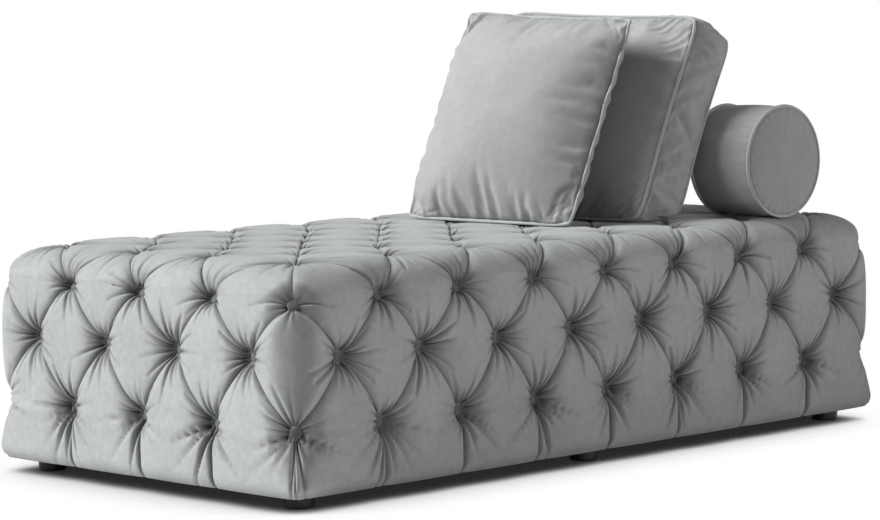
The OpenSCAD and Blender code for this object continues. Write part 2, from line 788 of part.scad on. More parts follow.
module pillow_cover() {
    color(velvet) difference() {
        knife_edge_pad(pad_n, 0, pillow_seat);
        knife_edge_pad(fill_n, cloth_t, pillow_seat + zip_pocket);
        zip_slit(pillow_x + pillow_zip_set, pillow_y, pillow_seat, pillow_w);
    }
}

module pillow_insert() {
    color(wadding) knife_edge_pad(fill_n, fill_in, pillow_seat + zip_pocket + rest_gap);
}

module pillow_zip() {
    color(zip_grey) translate([pillow_x + pillow_zip_set, pillow_y, pillow_seat + zip_pocket - zip_t])
        zip_band(zip_length(pillow_w));
}

module pillow_zip_slider() {
    color(zinc) translate([
        pillow_x + pillow_zip_set,
        pillow_y - zip_length(pillow_w) / 2,
        pillow_seat + zip_pocket - zip_t - rest_gap
    ]) slider_body();
}

// Closed tube of six sides along a closed loop of points that lies in one leaning plane
module piping_loop(points, across) {
    n = len(points);
    vertices = [for (i = [0:n - 1])
        let (
            before = unit(points[i] - points[(i + n - 1) % n]),
            after = unit(points[(i + 1) % n] - points[i]),
            way = unit(before + after),
            out = cross(way, across),
            stretch = 1 / max(mitre_share, before * way)
        )
        for (s = [0:piping_sides - 1])
            let (turn = 360 * s / piping_sides)
            points[i] + piping_r * (stretch * out * cos(turn) + across * sin(turn))];
    faces = flat([for (i = [0:n - 1]) for (s = [0:piping_sides - 1])
        let (here = i * piping_sides, next = (i + 1) % n * piping_sides, after = (s + 1) % piping_sides)
        quad(here + s, here + after, next + after, next + s, true)]);
    polyhedron(vertices, faces);
}

// Square loop of shares: n steps a side, from the lower left corner round by the right
function square_loop(n) = concat(
    [for (i = [0:n - 1]) [spread(i, n), -1]],
    [for (i = [0:n - 1]) [1, spread(i, n)]],
    [for (i = [0:n - 1]) [-spread(i, n), 1]],
    [for (i = [0:n - 1]) [-1, -spread(i, n)]]
);
lean_normal = [cos(lean), 0, -sin(lean)];

module pillow_piping() {
    color(velvet_dark) piping_loop(
        [for (s = square_loop(pad_n))
            leaning(drawn_w(s[0], s[1], pillow_w), pillow_h_at(s[0], s[1], 0), 0, pillow_place)],
        lean_normal
    );
}

// Boxed cushion: the bottom edge of each layer n stays level, on the seat
function boxed_h(u, v, n, less) =
    mix(n * tan(lean) + less, back_h - less - back_h * draw_share / 2 * (1 - u * u), (1 + v) / 2)
    + sloped(u, v, back_drop, back_rise);
function boxed_point(u, v, n, bulge, less) =
    leaning(drawn_w(u, v, back_w - 2 * less), boxed_h(u, v, n, less), n + bulge * crown(u, v), back_place);

module boxed_pad(n, less, level) {
    loop = square_loop(n);
    m = len(loop);
    function on_edge(i, j) = i == 0 || j == 0 || i == n || j == n;
    function edge_number(i, j) = j == 0 ? i : i == n ? n + j : j == n ? 3 * n - i : 4 * n - j;
    function inner(i, j) = (j - 1) * (n - 1) + i - 1;
    function front(i, j) = on_edge(i, j) ? edge_number(i, j) % m : 4 * m + inner(i, j);
    function rear(i, j) =
        on_edge(i, j) ? 3 * m + edge_number(i, j) % m : 4 * m + (n - 1) * (n - 1) + inner(i, j);
    function band_point(s, share) =
        boxed_point(s[0], s[1], mix(less, back_t - less, share), 0, less - band_crown);
    points = concat(
        [for (s = loop) boxed_point(s[0], s[1], less, 0, less)],
        [for (share = band_shares) for (s = loop) band_point(s, share)],
        [for (s = loop) boxed_point(s[0], s[1], back_t - less, 0, less)],
        [for (j = [1:n - 1]) for (i = [1:n - 1])
            boxed_point(spread(i, n), spread(j, n), less, -back_crown, less)],
        [for (j = [1:n - 1]) for (i = [1:n - 1])
            boxed_point(spread(i, n), spread(j, n), back_t - less, rear_crown, less)]
    );
    vertices = [for (p = points) resting(p, level)];
    face_quads = flat([for (j = [0:n - 1]) for (i = [0:n - 1])
        let (main = (i < n / 2) != (j < n / 2))
        concat(
            turned(quad(front(i, j), front(i + 1, j), front(i + 1, j + 1), front(i, j + 1), main)),
            quad(rear(i, j), rear(i + 1, j), rear(i + 1, j + 1), rear(i, j + 1), main)
        )]);
    band_quads = flat([for (ring = [0:2]) for (k = [0:m - 1])
        let (here = ring * m, next = here + m)
        quad(here + k, here + (k + 1) % m, next + (k + 1) % m, next + k, true)]);
    polyhedron(vertices, turned(concat(face_quads, band_quads)));
}

// Place of the back cushion's zip, midway along its flat bottom
back_zip_x = back_x + back_t / cos(lean) / 2;

module back_cover() {
    color(velvet) difference() {
        boxed_pad(pad_n, 0, seat_z);
        boxed_pad(fill_n, cloth_t, seat_z + zip_pocket);
        zip_slit(back_zip_x, back_y, seat_z, back_w);
    }
}

module back_insert() {
    color(wadding) boxed_pad(fill_n, fill_in, seat_z + zip_pocket + rest_gap);
}

module back_piping(n) {
    points = [for (s = square_loop(pad_n)) boxed_point(s[0], s[1], n, 0, 0)];
    color(velvet_dark) piping_loop(points, lean_normal);
}

module back_zip() {
    color(zip_grey) translate([back_zip_x, back_y, seat_z + zip_pocket - zip_t])
        zip_band(zip_length(back_w));
}

module back_zip_slider() {
    color(zinc) translate([
        back_zip_x,
        back_y - zip_length(back_w) / 2,
        seat_z + zip_pocket - zip_t - rest_gap
    ]) slider_body();
}

// The bolster is modelled with its axis along Z and its near end at the origin, then laid across
module lay_across() {
    translate([bolster_x, bolster_y, bolster_z]) rotate([-90, 0, 0]) children();
}

// Turned profile of the tube's outside, less a skin
function tube_profile(less) = concat(
    [[0, 0]],
    [for (i = [0:tube_steps])
        [bolster_r - less + tube_crown * sin(180 * i / tube_steps), bolster_l * i / tube_steps]],
    [[0, bolster_l]]
);

// Zip on the bolster's lower rear side, where the tube is slit for it
module at_bolster_zip() {
    rotate([0, 0, zip_angle]) translate([bolster_r, 0, bolster_l / 2]) rotate([90, 0, 90]) children();
}

module bolster_slit() {
    l = zip_length(bolster_l);
    at_bolster_zip() box_between(
        [-zip_w / 2 - fit_gap, -l / 2 - fit_gap, -2 * cloth_t],
        [zip_w / 2 + fit_gap, l / 2 + fit_gap, tube_crown + over]
    );
}

module bolster_tube() {
    color(velvet) lay_across() difference() {
        rotate_extrude($fn = 2 * fine) polygon(tube_profile(0));
        translate([0, 0, -over])
            cylinder(h = bolster_l + 2 * over, r = bolster_r - cloth_t, $fn = 2 * fine);
        bolster_slit();
    }
}

module bolster_end(direction) {
    dome = [for (a = [0:15:90]) [bolster_r * sin(a), end_dome * cos(a)]];
    color(velvet) lay_across() translate([0, 0, direction > 0 ? bolster_l : 0])
        mirror([0, 0, direction > 0 ? 0 : 1])
            rotate_extrude($fn = 2 * fine) polygon(concat([[0, 0]], dome));
}

module bolster_core() {
    color(wadding) lay_across() difference() {
        cylinder(h = bolster_l, r = bolster_r - cloth_t, $fn = 2 * fine);
        bolster_slit();
    }
}

module bolster_piping() {
    color(velvet_dark) lay_across() for (z = [0, bolster_l])
        translate([0, 0, z]) rotate_extrude($fn = 2 * fine)
            translate([bolster_ring, 0]) circle(r = piping_r, $fn = small);
}

module bolster_zip() {
    color(zip_grey) lay_across() at_bolster_zip() rotate([180, 0, 0]) zip_band(zip_length(bolster_l));
}

module bolster_zip_slider() {
    color(zinc) lay_across() at_bolster_zip()
        translate([0, zip_length(bolster_l) / 2, rest_gap]) rotate([180, 0, 0]) slider_body();
}

tufted_cover();
top_buttons();
face_buttons(0);  // near_buttons
face_buttons(1);  // head_buttons
face_buttons(2);  // far_buttons
face_buttons(3);  // foot_buttons
top_twines();
side_twines();
top_washers();
side_washers();
seat_foam();
side_foam_slab(0);  // side_foam_near
side_foam_slab(1);  // side_foam_far
end_foam_slab(0);  // end_foam_foot
end_foam_slab(1);  // end_foam_head
seat_deck();
side_panel(0);  // side_panel_near
side_panel(1);  // side_panel_far
end_panel(0);  // end_panel_foot
end_panel(1);  // end_panel_head
post(0, 0, post_h);  // corner_post_foot_near
post(0, 1, post_h);  // corner_post_foot_far
post(2, 0, post_h);  // corner_post_head_near
post(2, 1, post_h);  // corner_post_head_far
post(1, 0, centre_post_h);  // centre_post_near
post(1, 1, centre_post_h);  // centre_post_far
centre_stretcher();
side_ledgers();
end_ledgers();
cross_rail(rail_shares[0]);  // cross_rail_foot
cross_rail(rail_shares[1]);  // cross_rail_middle
cross_rail(rail_shares[2]);  // cross_rail_head
frame_screws();
dust_cover();
foot(0, 0);  // foot_foot_near
foot(0, 1);  // foot_foot_far
foot(1, 0);  // foot_middle_near
foot(1, 1);  // foot_middle_far
foot(2, 0);  // foot_head_near
foot(2, 1);  // foot_head_far
foot_bolts();
foot_t_nuts();
pillow_cover();
pillow_insert();
pillow_piping();
pillow_zip();
pillow_zip_slider();
back_cover();
back_insert();
back_piping(0);  // back_front_piping
back_piping(back_t);  // back_rear_piping
back_zip();
back_zip_slider();
bolster_tube();
bolster_end(-1);  // bolster_end_near
bolster_end(1);  // bolster_end_far
bolster_core();
bolster_piping();
bolster_zip();
bolster_zip_slider();
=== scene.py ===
# %% [markdown]
# # A deep-buttoned fainting couch
# The couch is a low padded base on six small feet, buttoned on its top and all round its sides, with three
# loose cushions at its head end. The CAD frame fixes every size, so this lesson only dresses it. Velvet is
# all about folds and light: most cells below work out one soft surface as a function of two numbers, with
# numpy, and hang a velvet on it that is rough, matt and a little bright where the pile is seen from the
# side.

# %% Set-up
import math
import bpy
import numpy as np
from mathutils import Matrix, Vector


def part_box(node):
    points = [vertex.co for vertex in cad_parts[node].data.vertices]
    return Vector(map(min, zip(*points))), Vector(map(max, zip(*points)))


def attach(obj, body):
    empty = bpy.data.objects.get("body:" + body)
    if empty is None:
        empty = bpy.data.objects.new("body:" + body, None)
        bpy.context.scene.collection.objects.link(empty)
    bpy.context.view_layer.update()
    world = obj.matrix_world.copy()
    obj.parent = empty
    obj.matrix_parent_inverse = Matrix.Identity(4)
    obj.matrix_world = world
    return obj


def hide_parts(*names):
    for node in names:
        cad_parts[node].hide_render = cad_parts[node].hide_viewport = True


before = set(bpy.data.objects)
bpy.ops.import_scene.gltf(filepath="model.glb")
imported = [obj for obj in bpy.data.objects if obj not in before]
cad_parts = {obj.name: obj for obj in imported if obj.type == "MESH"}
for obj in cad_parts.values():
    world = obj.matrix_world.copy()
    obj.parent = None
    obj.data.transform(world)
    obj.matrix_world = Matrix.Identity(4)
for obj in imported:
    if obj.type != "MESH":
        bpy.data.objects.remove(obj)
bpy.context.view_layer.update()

# %% [markdown]
# ## Camera
# The picture was taken from far away with a long lens, a little above the top of the base and looking along
# its near foot corner. The three axes of the camera are worked out from its heading, its tilt and its small
# roll.

# %% Camera
HEADING = math.radians(44.243)
TILT = math.radians(-4.82)
ROLL = math.radians(-1.029)
CAMERA_PLACE = (-4.6406, -4.7324, 0.945)
SENSOR_WIDTH = 36
LENS = 130.42


def add_object(name, data):
    """A new object at the origin, linked into the scene."""
    item = bpy.data.objects.new(name, data)
    bpy.context.scene.collection.objects.link(item)
    return item


ahead = Vector((math.sin(HEADING) * math.cos(TILT), math.cos(HEADING) * math.cos(TILT), math.sin(TILT)))
level = Vector((math.cos(HEADING), -math.sin(HEADING), 0))
upright = level.cross(ahead)
right = math.cos(ROLL) * level + math.sin(ROLL) * upright
above = math.cos(ROLL) * upright - math.sin(ROLL) * level
camera_data = bpy.data.cameras.new("camera")
camera_data.sensor_fit = "HORIZONTAL"
camera_data.sensor_width = SENSOR_WIDTH
camera_data.lens = LENS
camera = add_object("camera", camera_data)
camera_axes = Matrix((right, above, -ahead)).transposed().to_4x4()
camera.matrix_world = Matrix.Translation(CAMERA_PLACE) @ camera_axes
bpy.context.scene.camera = camera
bpy.context.scene.view_settings.view_transform = "Standard"
print("camera looks along", tuple(round(c, 3) for c in ahead))

# %% [markdown]
# ## Helpers for node trees
# A material is a small graph. These helpers place a node, set or link its inputs, and open a group with
# named sockets, so that the finishes further down stay short enough to read.


# %% Node helpers
def place(tree, kind, inputs=None, **settings):
    """Adds a node; an input that is a socket is linked, anything else is set as its value."""
    item = tree.nodes.new(kind)
    for name, value in settings.items():
        setattr(item, name, value)
    for name, value in (inputs or {}).items():
        if isinstance(value, bpy.types.NodeSocket):
            tree.links.new(value, item.inputs[name])
        else:
            item.inputs[name].default_value = value
    return item


def math_node(tree, operation, first, second=0.0, third=0.5):
    """One sum of two or three numbers or sockets."""
    return place(tree, "ShaderNodeMath", {0: first, 1: second, 2: third}, operation=operation).outputs[0]


def object_place(tree):
    """The place of a point on its own object, in metres."""
    return place(tree, "ShaderNodeTexCoord").outputs["Object"]


def noise(tree, at, scale, detail, distortion=0.0):
    """Soft noise from 0 to 1, so many waves to a metre."""
    return place(tree, "ShaderNodeTexNoise", {
        "Vector": at, "Scale": scale, "Detail": detail, "Distortion": distortion}).outputs[0]


def times(tree, colour, factor):
    """A colour times a factor."""
    return place(tree, "ShaderNodeVectorMath", {0: colour, "Scale": factor}, operation="SCALE").outputs[0]


def open_group(name, inputs, outputs):
    """A shader group with named sockets; gives its tree, its way in and its way out."""
    tree = bpy.data.node_groups.new(name, "ShaderNodeTree")
    for label, kind, value in inputs:
        tree.interface.new_socket(label, in_out="INPUT", socket_type=kind).default_value = value
    for label, kind in outputs:
        tree.interface.new_socket(label, in_out="OUTPUT", socket_type=kind)
    return tree, tree.nodes.new("NodeGroupInput").outputs, tree.nodes.new("NodeGroupOutput").inputs


NUMBER = "NodeSocketFloat"
COLOUR = "NodeSocketColor"
VECTOR = "NodeSocketVector"


# %% [markdown]
# ## Effects that several finishes share
# Mottling varies a colour in large soft clouds and small flecks, as pile does where it is brushed. Pile is
# a very fine bump. Grain is a noise stretched along one axis, for wood. Weave is two crossed sets of ribs.

# %% Mottling
def build_mottling():
    """Colour times 1 plus Amount times a wide and a fine noise, each from -1 to 1."""
    tree, way_in, way_out = open_group(
        "Mottling", [("Colour", COLOUR, (0.5, 0.5, 0.5, 1)), ("Size", NUMBER, 10), ("Amount", NUMBER, 0.1)],
        [("Colour", COLOUR)])
    at = object_place(tree)
    wide = noise(tree, at, way_in["Size"], 3, 0.6)
    fine = noise(tree, at, math_node(tree, "MULTIPLY", way_in["Size"], 9.0), 4)
    both = math_node(tree, "SUBTRACT", math_node(tree, "ADD", wide, fine), 1.0)
    factor = math_node(tree, "MULTIPLY_ADD", both, way_in["Amount"], 1.0)
    tree.links.new(times(tree, way_in["Colour"], factor), way_out["Colour"])
    return tree


MOTTLING = build_mottling()


# %% Pile, grain and weave
def build_pile():
    """Height of fine pile: a sharp noise over soft streaks that brushing leaves."""
    tree, way_in, way_out = open_group("Pile", [("Size", NUMBER, 900)], [("Height", NUMBER)])
    at = object_place(tree)
    tips = noise(tree, at, way_in["Size"], 2)
    streaks = noise(tree, at, math_node(tree, "MULTIPLY", way_in["Size"], 0.12), 3)
    tree.links.new(math_node(tree, "ADD", tips, streaks), way_out["Height"])
    return tree


def build_grain():
    """Wood: a noise stretched by Stretch, mixed from dark lines to light ground, and its height."""
    tree, way_in, way_out = open_group(
        "Grain", [("Light", COLOUR, (0.6, 0.4, 0.2, 1)), ("Dark", COLOUR, (0.4, 0.25, 0.12, 1)),
                  ("Stretch", VECTOR, (4, 60, 60))],
        [("Colour", COLOUR), ("Height", NUMBER)])
    stretched = place(tree, "ShaderNodeMapping", {"Vector": object_place(tree), "Scale": way_in["Stretch"]})
    lines = noise(tree, stretched.outputs[0], 1.0, 6, 0.8)
    tone = place(tree, "ShaderNodeMix", {6: way_in["Dark"], 7: way_in["Light"], 0: lines}, data_type="RGBA")
    tree.links.new(tone.outputs[2], way_out["Colour"])
    tree.links.new(lines, way_out["Height"])
    return tree


def build_weave():
    """Cloth: the sum of sine ribs along X plus Z and along Y plus Z, Size ribs to a metre."""
    tree, way_in, way_out = open_group("Weave", [("Size", NUMBER, 900)], [("Height", NUMBER)])
    split = place(tree, "ShaderNodeSeparateXYZ", {0: object_place(tree)}).outputs
    ribs = []
    for axis in ("X", "Y"):
        run = math_node(tree, "MULTIPLY", math_node(tree, "ADD", split[axis], split["Z"]), way_in["Size"])
        ribs.append(math_node(tree, "SINE", math_node(tree, "MULTIPLY", run, math.tau)))
    tree.links.new(math_node(tree, "ADD", ribs[0], ribs[1]), way_out["Height"])
    return tree


PILE = build_pile()
GRAIN = build_grain()
WEAVE = build_weave()
print("groups:", [tree.name for tree in (MOTTLING, PILE, GRAIN, WEAVE)])


# %% [markdown]
# ## Finishes
# One function builds every material: a Principled shader whose plain numbers sit on its own sockets, a
# colour that varies over the surface, and a bump. Velvet has hardly any gloss and a soft sheen. Its colour
# also holds painted sheen, darker where the surface faces the view and full at a slant, and painted shade
# in folds, pits and beside seams, a value kept on the mesh. The same recipe with other numbers makes
# wood, foam, metal and tape.


# %% Material recipe
def srgb(red, green, blue):
    """A colour given on a 0 to 255 scale, as linear light."""
    return tuple(((c / 255 + 0.055) / 1.055) ** 2.4 for c in (red, green, blue)) + (1,)


def painted_sheen_and_shade(tree, colour, least, full):
    """Painted sheen and painted shade: colour times least to 1 by the slant of the view, 1 from full on,
    times 1 less the painted shade stored on the mesh."""
    # Painted sheen: the colour is darker where the surface faces the view.
    slant = place(tree, "ShaderNodeLayerWeight", {"Blend": 0.5}).outputs["Facing"]
    share = place(tree, "ShaderNodeMapRange", {
        "Value": slant, "From Min": 0.02, "From Max": full, "To Min": least, "To Max": 1.0},
        interpolation_type="SMOOTHSTEP").outputs[0]
    # Painted shade, stored on the mesh for folds, pits and seams.
    painted_darkness = place(tree, "ShaderNodeAttribute", attribute_name="painted_shade").outputs["Fac"]
    kept = math_node(tree, "MULTIPLY", share, math_node(tree, "SUBTRACT", 1.0, painted_darkness))
    return times(tree, colour, kept)


DARK_LINES = 0.55


def finish(name, colour, roughness, mottle=(10, 0.1), relief=None, bump=0.3, depth=0.0004,
           grain=None, ahead=None, **plain):
    """A material: mottled or grained colour, a relief group for the bump, and plain shader values."""
    material = bpy.data.materials.new(name)
    material.use_nodes = True
    tree = material.node_tree
    shader = tree.nodes["Principled BSDF"]
    shader.inputs["Roughness"].default_value = roughness
    for socket, value in plain.items():
        shader.inputs[socket.replace("_", " ")].default_value = value
    if grain:
        dark = tuple(c * DARK_LINES for c in colour[:3]) + (1,)
        ground = place(tree, "ShaderNodeGroup", {"Light": colour, "Dark": dark, "Stretch": grain},
                       node_tree=GRAIN)
        height = ground.outputs["Height"]
    else:
        ground = place(tree, "ShaderNodeGroup", {"Colour": colour, "Size": mottle[0], "Amount": mottle[1]},
                       node_tree=MOTTLING)
        height = place(tree, "ShaderNodeGroup", {"Size": relief[1]}, node_tree=relief[0]).outputs["Height"]
    final = ground.outputs["Colour"]
    if ahead:
        final = painted_sheen_and_shade(tree, final, *ahead)
    tree.links.new(final, shader.inputs["Base Color"])
    raised = place(tree, "ShaderNodeBump", {"Height": height, "Strength": bump, "Distance": depth})
    tree.links.new(raised.outputs[0], shader.inputs["Normal"])
    return material


# %% Velvets
# Ranges of the painted sheen: the darkest share, seen head-on, and the slant from which the colour is full.
SHARP = (0.6, 0.32)
SOFT = (0.62, 0.5)


def pile_cloth(name, colour, mottle, ahead, pile, bump, depth):
    """A velvet: matt, with a soft sheen, its colour darkened by painted sheen where it faces the view and by
    painted shade in its folds.
    """
    return finish(name, srgb(*colour), 0.9, mottle, (PILE, pile), bump, depth, ahead=ahead, Sheen_Weight=0.22,
                  Sheen_Roughness=0.45, Sheen_Tint=(0.86, 0.89, 0.9, 1), Specular_IOR_Level=0.12)


velvet = pile_cloth("grey velvet", (166, 168, 168), (9, 0.34), SHARP, 1100, 0.35, 0.0006)
velvet_cushion = pile_cloth("cushion velvet", (160, 162, 161), (8, 0.24), SOFT, 1100, 0.35, 0.0006)
# The buttons are the same velvet painted darker: painted shade for their pits.
velvet_button = pile_cloth("button velvet with painted shade", (104, 106, 106), (60, 0.15), SHARP, 1300, 0.4, 0.0005)
# The piping is the same velvet painted lighter: painted light along the seams.
velvet_piping = pile_cloth("piping velvet with painted light", (176, 179, 179), (40, 0.15), SOFT, 1300, 0.4, 0.0005)

# %% Hidden finishes
FINISHES = {
    "timber": finish("pine", srgb(203, 170, 122), 0.6, grain=(5, 70, 70), bump=0.25, depth=0.0006),
    "plywood": finish("plywood", srgb(196, 160, 116), 0.55, grain=(4, 40, 160), bump=0.2, depth=0.0005),
    "foam": finish("foam", srgb(222, 209, 170), 0.95, (30, 0.08), (PILE, 700), 0.6, 0.001),
    "wadding": finish("wadding", srgb(236, 235, 230), 0.95, (22, 0.06), (PILE, 300), 0.7, 0.002),
    "twine": finish("jute twine", srgb(178, 148, 100), 0.85, (120, 0.25), (WEAVE, 600), 0.6, 0.0006),
    "zinc": finish("zinc", srgb(176, 178, 180), 0.35, (90, 0.15), (PILE, 900), 0.1, 0.0002, Metallic=1.0),
    "zip_metal": finish("zip metal", srgb(150, 152, 154), 0.3, (120, 0.2), (PILE, 900), 0.1, 0.0002,
                        Metallic=1.0),
    "zip_tape": finish("zip tape", srgb(92, 94, 97), 0.8, (80, 0.12), (WEAVE, 1200), 0.5, 0.0003),
    "foot_black": finish("black foot", srgb(24, 24, 25), 0.42, (60, 0.3), (PILE, 500), 0.12, 0.0003),
    "dust_cloth": finish("dust cloth", srgb(30, 30, 32), 0.9, (35, 0.25), (WEAVE, 700), 0.6, 0.0005),
}
print(len(FINISHES) + 4, "finishes")


# %% [markdown]
# ## From arrays to a piece
# Every soft piece below is a block of points and two lists of faces. This helper hands the arrays to
# Blender in one go, smooths the shading, gives the piece its finish, and lets it ride on its body.


# %% Mesh helpers
def piece(name, points, quads, triangles, material, slot, body, *stands_for, painted_shade=None):
    """One mesh object at the origin from points (n by 3), quads (m by 4) and triangles (k by 3).
    The last argument, where given, is the painted shade at each point, from 0 to 1."""
    quads = np.asarray(quads, np.int32).reshape(-1, 4)
    triangles = np.asarray(triangles, np.int32).reshape(-1, 3)
    corners = np.concatenate([quads.ravel(), triangles.ravel()])
    sizes = np.concatenate([np.full(len(quads), 4), np.full(len(triangles), 3)])
    mesh = bpy.data.meshes.new(name)
    mesh.vertices.add(len(points))
    mesh.vertices.foreach_set("co", np.asarray(points, np.float32).ravel())
    mesh.loops.add(len(corners))
    mesh.loops.foreach_set("vertex_index", corners)
    mesh.polygons.add(len(sizes))
    mesh.polygons.foreach_set("loop_start", np.concatenate([[0], np.cumsum(sizes)[:-1]]).astype(np.int32))
    mesh.polygons.foreach_set("use_smooth", np.ones(len(sizes), bool))
    mesh.update(calc_edges=True)
    mesh.validate()
    # Painted shade is kept on the mesh as a value for each point.
    if painted_shade is not None:
        painted_darkness = mesh.attributes.new("painted_shade", "FLOAT", "POINT")
        painted_darkness.data.foreach_set("value", np.asarray(painted_shade, np.float32))
    mesh.materials.append(material)
    made = add_object(name, mesh)
    if stands_for:
        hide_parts(*stands_for)
    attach(made, body)
    print(name, len(points), "points")
    return made


def faces_of(numbers, flip=False):
    """Quads between neighbours in a table of point numbers, seen from its other side when flipped."""
    corners = [numbers[:-1, :-1], numbers[1:, :-1], numbers[1:, 1:], numbers[:-1, 1:]]
    quads = np.stack(corners, -1).reshape(-1, 4)
    return quads[:, [0, 3, 2, 1]] if flip else quads


def grid_quads(columns_n, rows_n, wrap=False, closed=False):
    """Quads of a grid numbered row by row; wrap joins its last column to its first, closed its last row."""
    numbers = np.arange(columns_n * rows_n).reshape(rows_n, columns_n)
    return faces_of(np.pad(numbers, ((0, int(closed)), (0, int(wrap))), "wrap"), True)


def pole_fans(sides, count, flip=False):
    """Triangles from the first and the last of count ring points to the two poles numbered after them."""
    s = np.arange(sides)
    nxt = (s + 1) % sides
    last = count - sides
    base_fan = np.stack([nxt, s, 0 * s + count], -1)
    top_fan = np.stack([last + s, last + nxt, 0 * s + count + 1], -1)
    fans = np.concatenate([base_fan, top_fan])
    return fans[:, [1, 0, 2]] if flip else fans


def smooth(x):
    """An even step from 0 to 1 that starts and ends flat."""
    x = np.clip(x, 0, 1)
    return x * x * (3 - 2 * x)


def mix(a, b, share):
    """A plus a share of the way from a to b."""
    return a + (b - a) * share


def ripple(s, seed, waves):
    """Uneven ripples along s from -1 to 1: three sine waves of near frequencies."""
    return (np.sin(waves * s + seed) + 0.7 * np.sin(waves * 1.37 * s + 2.1 * seed)
            + 0.5 * np.sin(waves * 0.61 * s + 3.3 * seed)) / 2.2


# %% [markdown]
# ## The button lattice
# Buttons sit where two families of slanting pleats cross. Count spaces along a face as a and up it as b:
# one family has a + b constant, the other a - b. A grid laid along the pleats instead of along the couch
# puts whole rows of points on each pleat, and they can be crowded towards it, where the cloth turns
# sharply, and spread out over the puffs, where it doesn't. The top, the sides and the hem use the same
# spacing, so they share points.

# %% Lattice sizes
COLUMNS = 8
ROWS = 4
PITCH_X = 0.205
PITCH_Y = 0.212
HALF_L = COLUMNS * PITCH_X / 2
HALF_W = ROWS * PITCH_Y / 2
LOW_Z = 0.148
MID_Z = 0.281
UP_Z = 0.383
TOP_Z = 0.439
HEM_Z = 0.028
EDGE_INSET = 0.082
SIDE_PUFF = 0.038
TOP_PUFF = 0.018
TILT_SHARE = 0.6
STEPS = 60
CROWDING = 0.5
TURNS = 2 * (COLUMNS + ROWS)
CORNERS = np.array([0, COLUMNS, COLUMNS + ROWS, 2 * COLUMNS + ROWS, TURNS])


def line_at(index):
    """Place of a grid line, in spaces: its index over STEPS less a sine, so that lines crowd on pleats."""
    x = index / STEPS
    return x - CROWDING * np.sin(math.tau * x) / math.tau


# %% [markdown]
# ## How the cover swells at a corner
# Along a straight side a puff stands straight out. At an upright corner the cloth rounds the corner in one
# bend, so the full height of a puff there follows a rounded rectangle instead: straight runs and quarter
# turns, paced by arc length so that the cloth isn't stretched. Only the hem, which hangs free, keeps a
# square corner.

# %% Corner reach
ROUND = 0.084


def reach(spaces, pitch, square=0):
    """Outward and sideways reach of a full puff at a number of spaces from an upright corner.
    square, from 0 to 1, draws the rounded corner out to a sharp one, as the hem has."""
    near = np.minimum(spaces, 0.5)
    half = pitch / 2
    straight = half - ROUND + SIDE_PUFF
    total = straight + ROUND * math.pi / 4
    run = (1 - 2 * near) * total
    turn = np.maximum(run - straight, 0) / ROUND
    outward = ROUND * np.cos(turn) - ROUND + SIDE_PUFF
    sideways = np.minimum(run, straight) - half + ROUND * np.sin(turn) + near * pitch
    return mix(outward, SIDE_PUFF, square), mix(sideways, SIDE_PUFF * (1 - 2 * near), square)


FACE_START = np.array([(-HALF_L, HALF_L, HALF_L, -HALF_L), (-HALF_W, -HALF_W, HALF_W, HALF_W)])
FACE_AHEAD = np.array([(1, 0, -1, 0), (0, 1, 0, -1)])


def side_frame(a, square=0):
    """For places a round the sides: point of the button rectangle, and the full puff's reach in X and Y."""
    a = np.mod(a, TURNS)
    face = np.clip(np.searchsorted(CORNERS, a, side="right") - 1, 0, 3)
    run = a - CORNERS[face]
    length = np.where(face % 2 == 0, COLUMNS, ROWS)
    pitch = np.where(face % 2 == 0, PITCH_X, PITCH_Y)
    start_x, start_y = FACE_START[:, face]
    ahead_x, ahead_y = FACE_AHEAD[:, face]
    x = start_x + ahead_x * run * pitch
    y = start_y + ahead_y * run * pitch
    out_0, side_0 = reach(run, pitch, square)
    out_1, side_1 = reach(length - run, pitch, square)
    outward = np.where(run < length / 2, out_0, out_1)
    sideways = np.where(run < length / 2, -side_0, side_1)
    return x, y, ahead_y * outward + ahead_x * sideways, -ahead_x * outward + ahead_y * sideways


# %% [markdown]
# ## Height of the cloth over the lattice
# The cloth is pulled down hard only at the buttons. Each one sits in a funnel that is steep near it and
# level with the rest a hand's width away. Between the funnels the cloth meets at the pleats a little lower
# than in the middle of a puff: two sine waves, one for each family of pleats, are zero on their own pleats,
# and a low power of their product gives that pillow shape. A narrow notch draws each pleat in as a thin
# line.

# %% Puff height
VALLEY = 0.68
SHOULDER = 0.24
SHOULDER_WIDTH = 0.15
NOTCH = 0.13
NOTCH_WIDTH = 0.016
BUTTON_HOLE = 0.008
STEEP_SHARE = 0.72
STEEP_WIDTH = 0.0085
WIDE_WIDTH = 0.032
SIDE_RISE = 0.235


def from_button(p, r, rise):
    """Distance in metres and angle of the nearest button, and its whole numbers in p and r."""
    near_p = np.round(p)
    near_r = np.round(r)
    a = (p - near_p + r - near_r) / 2 * (PITCH_X + PITCH_Y) / 2
    b = (p - near_p - r + near_r) / 2 * rise
    return np.hypot(a, b), np.arctan2(b, a), near_p, near_r


def funnel(radius, size):
    """Share of the height at a distance from the button: level under it, then steep, then ever gentler."""
    past = np.maximum(radius - BUTTON_HOLE, 0) / size
    steep = STEEP_SHARE * np.exp(-past / STEEP_WIDTH)
    return 1 - steep - (1 - STEEP_SHARE) * np.exp(-(past / WIDE_WIDTH) ** 1.5)


def pit_painted_shade(radius):
    """Painted shade round a button: most at its rim, then ever less."""
    return 0.55 * np.exp(-np.maximum(radius - BUTTON_HOLE, 0) / 0.016)


def shoulder(x):
    """A quarter round that rises steeply from each whole number and is level SHOULDER_WIDTH away from it."""
    return np.sqrt(1 - (1 - np.minimum(np.abs(x - np.round(x)) / SHOULDER_WIDTH, 1)) ** 2)


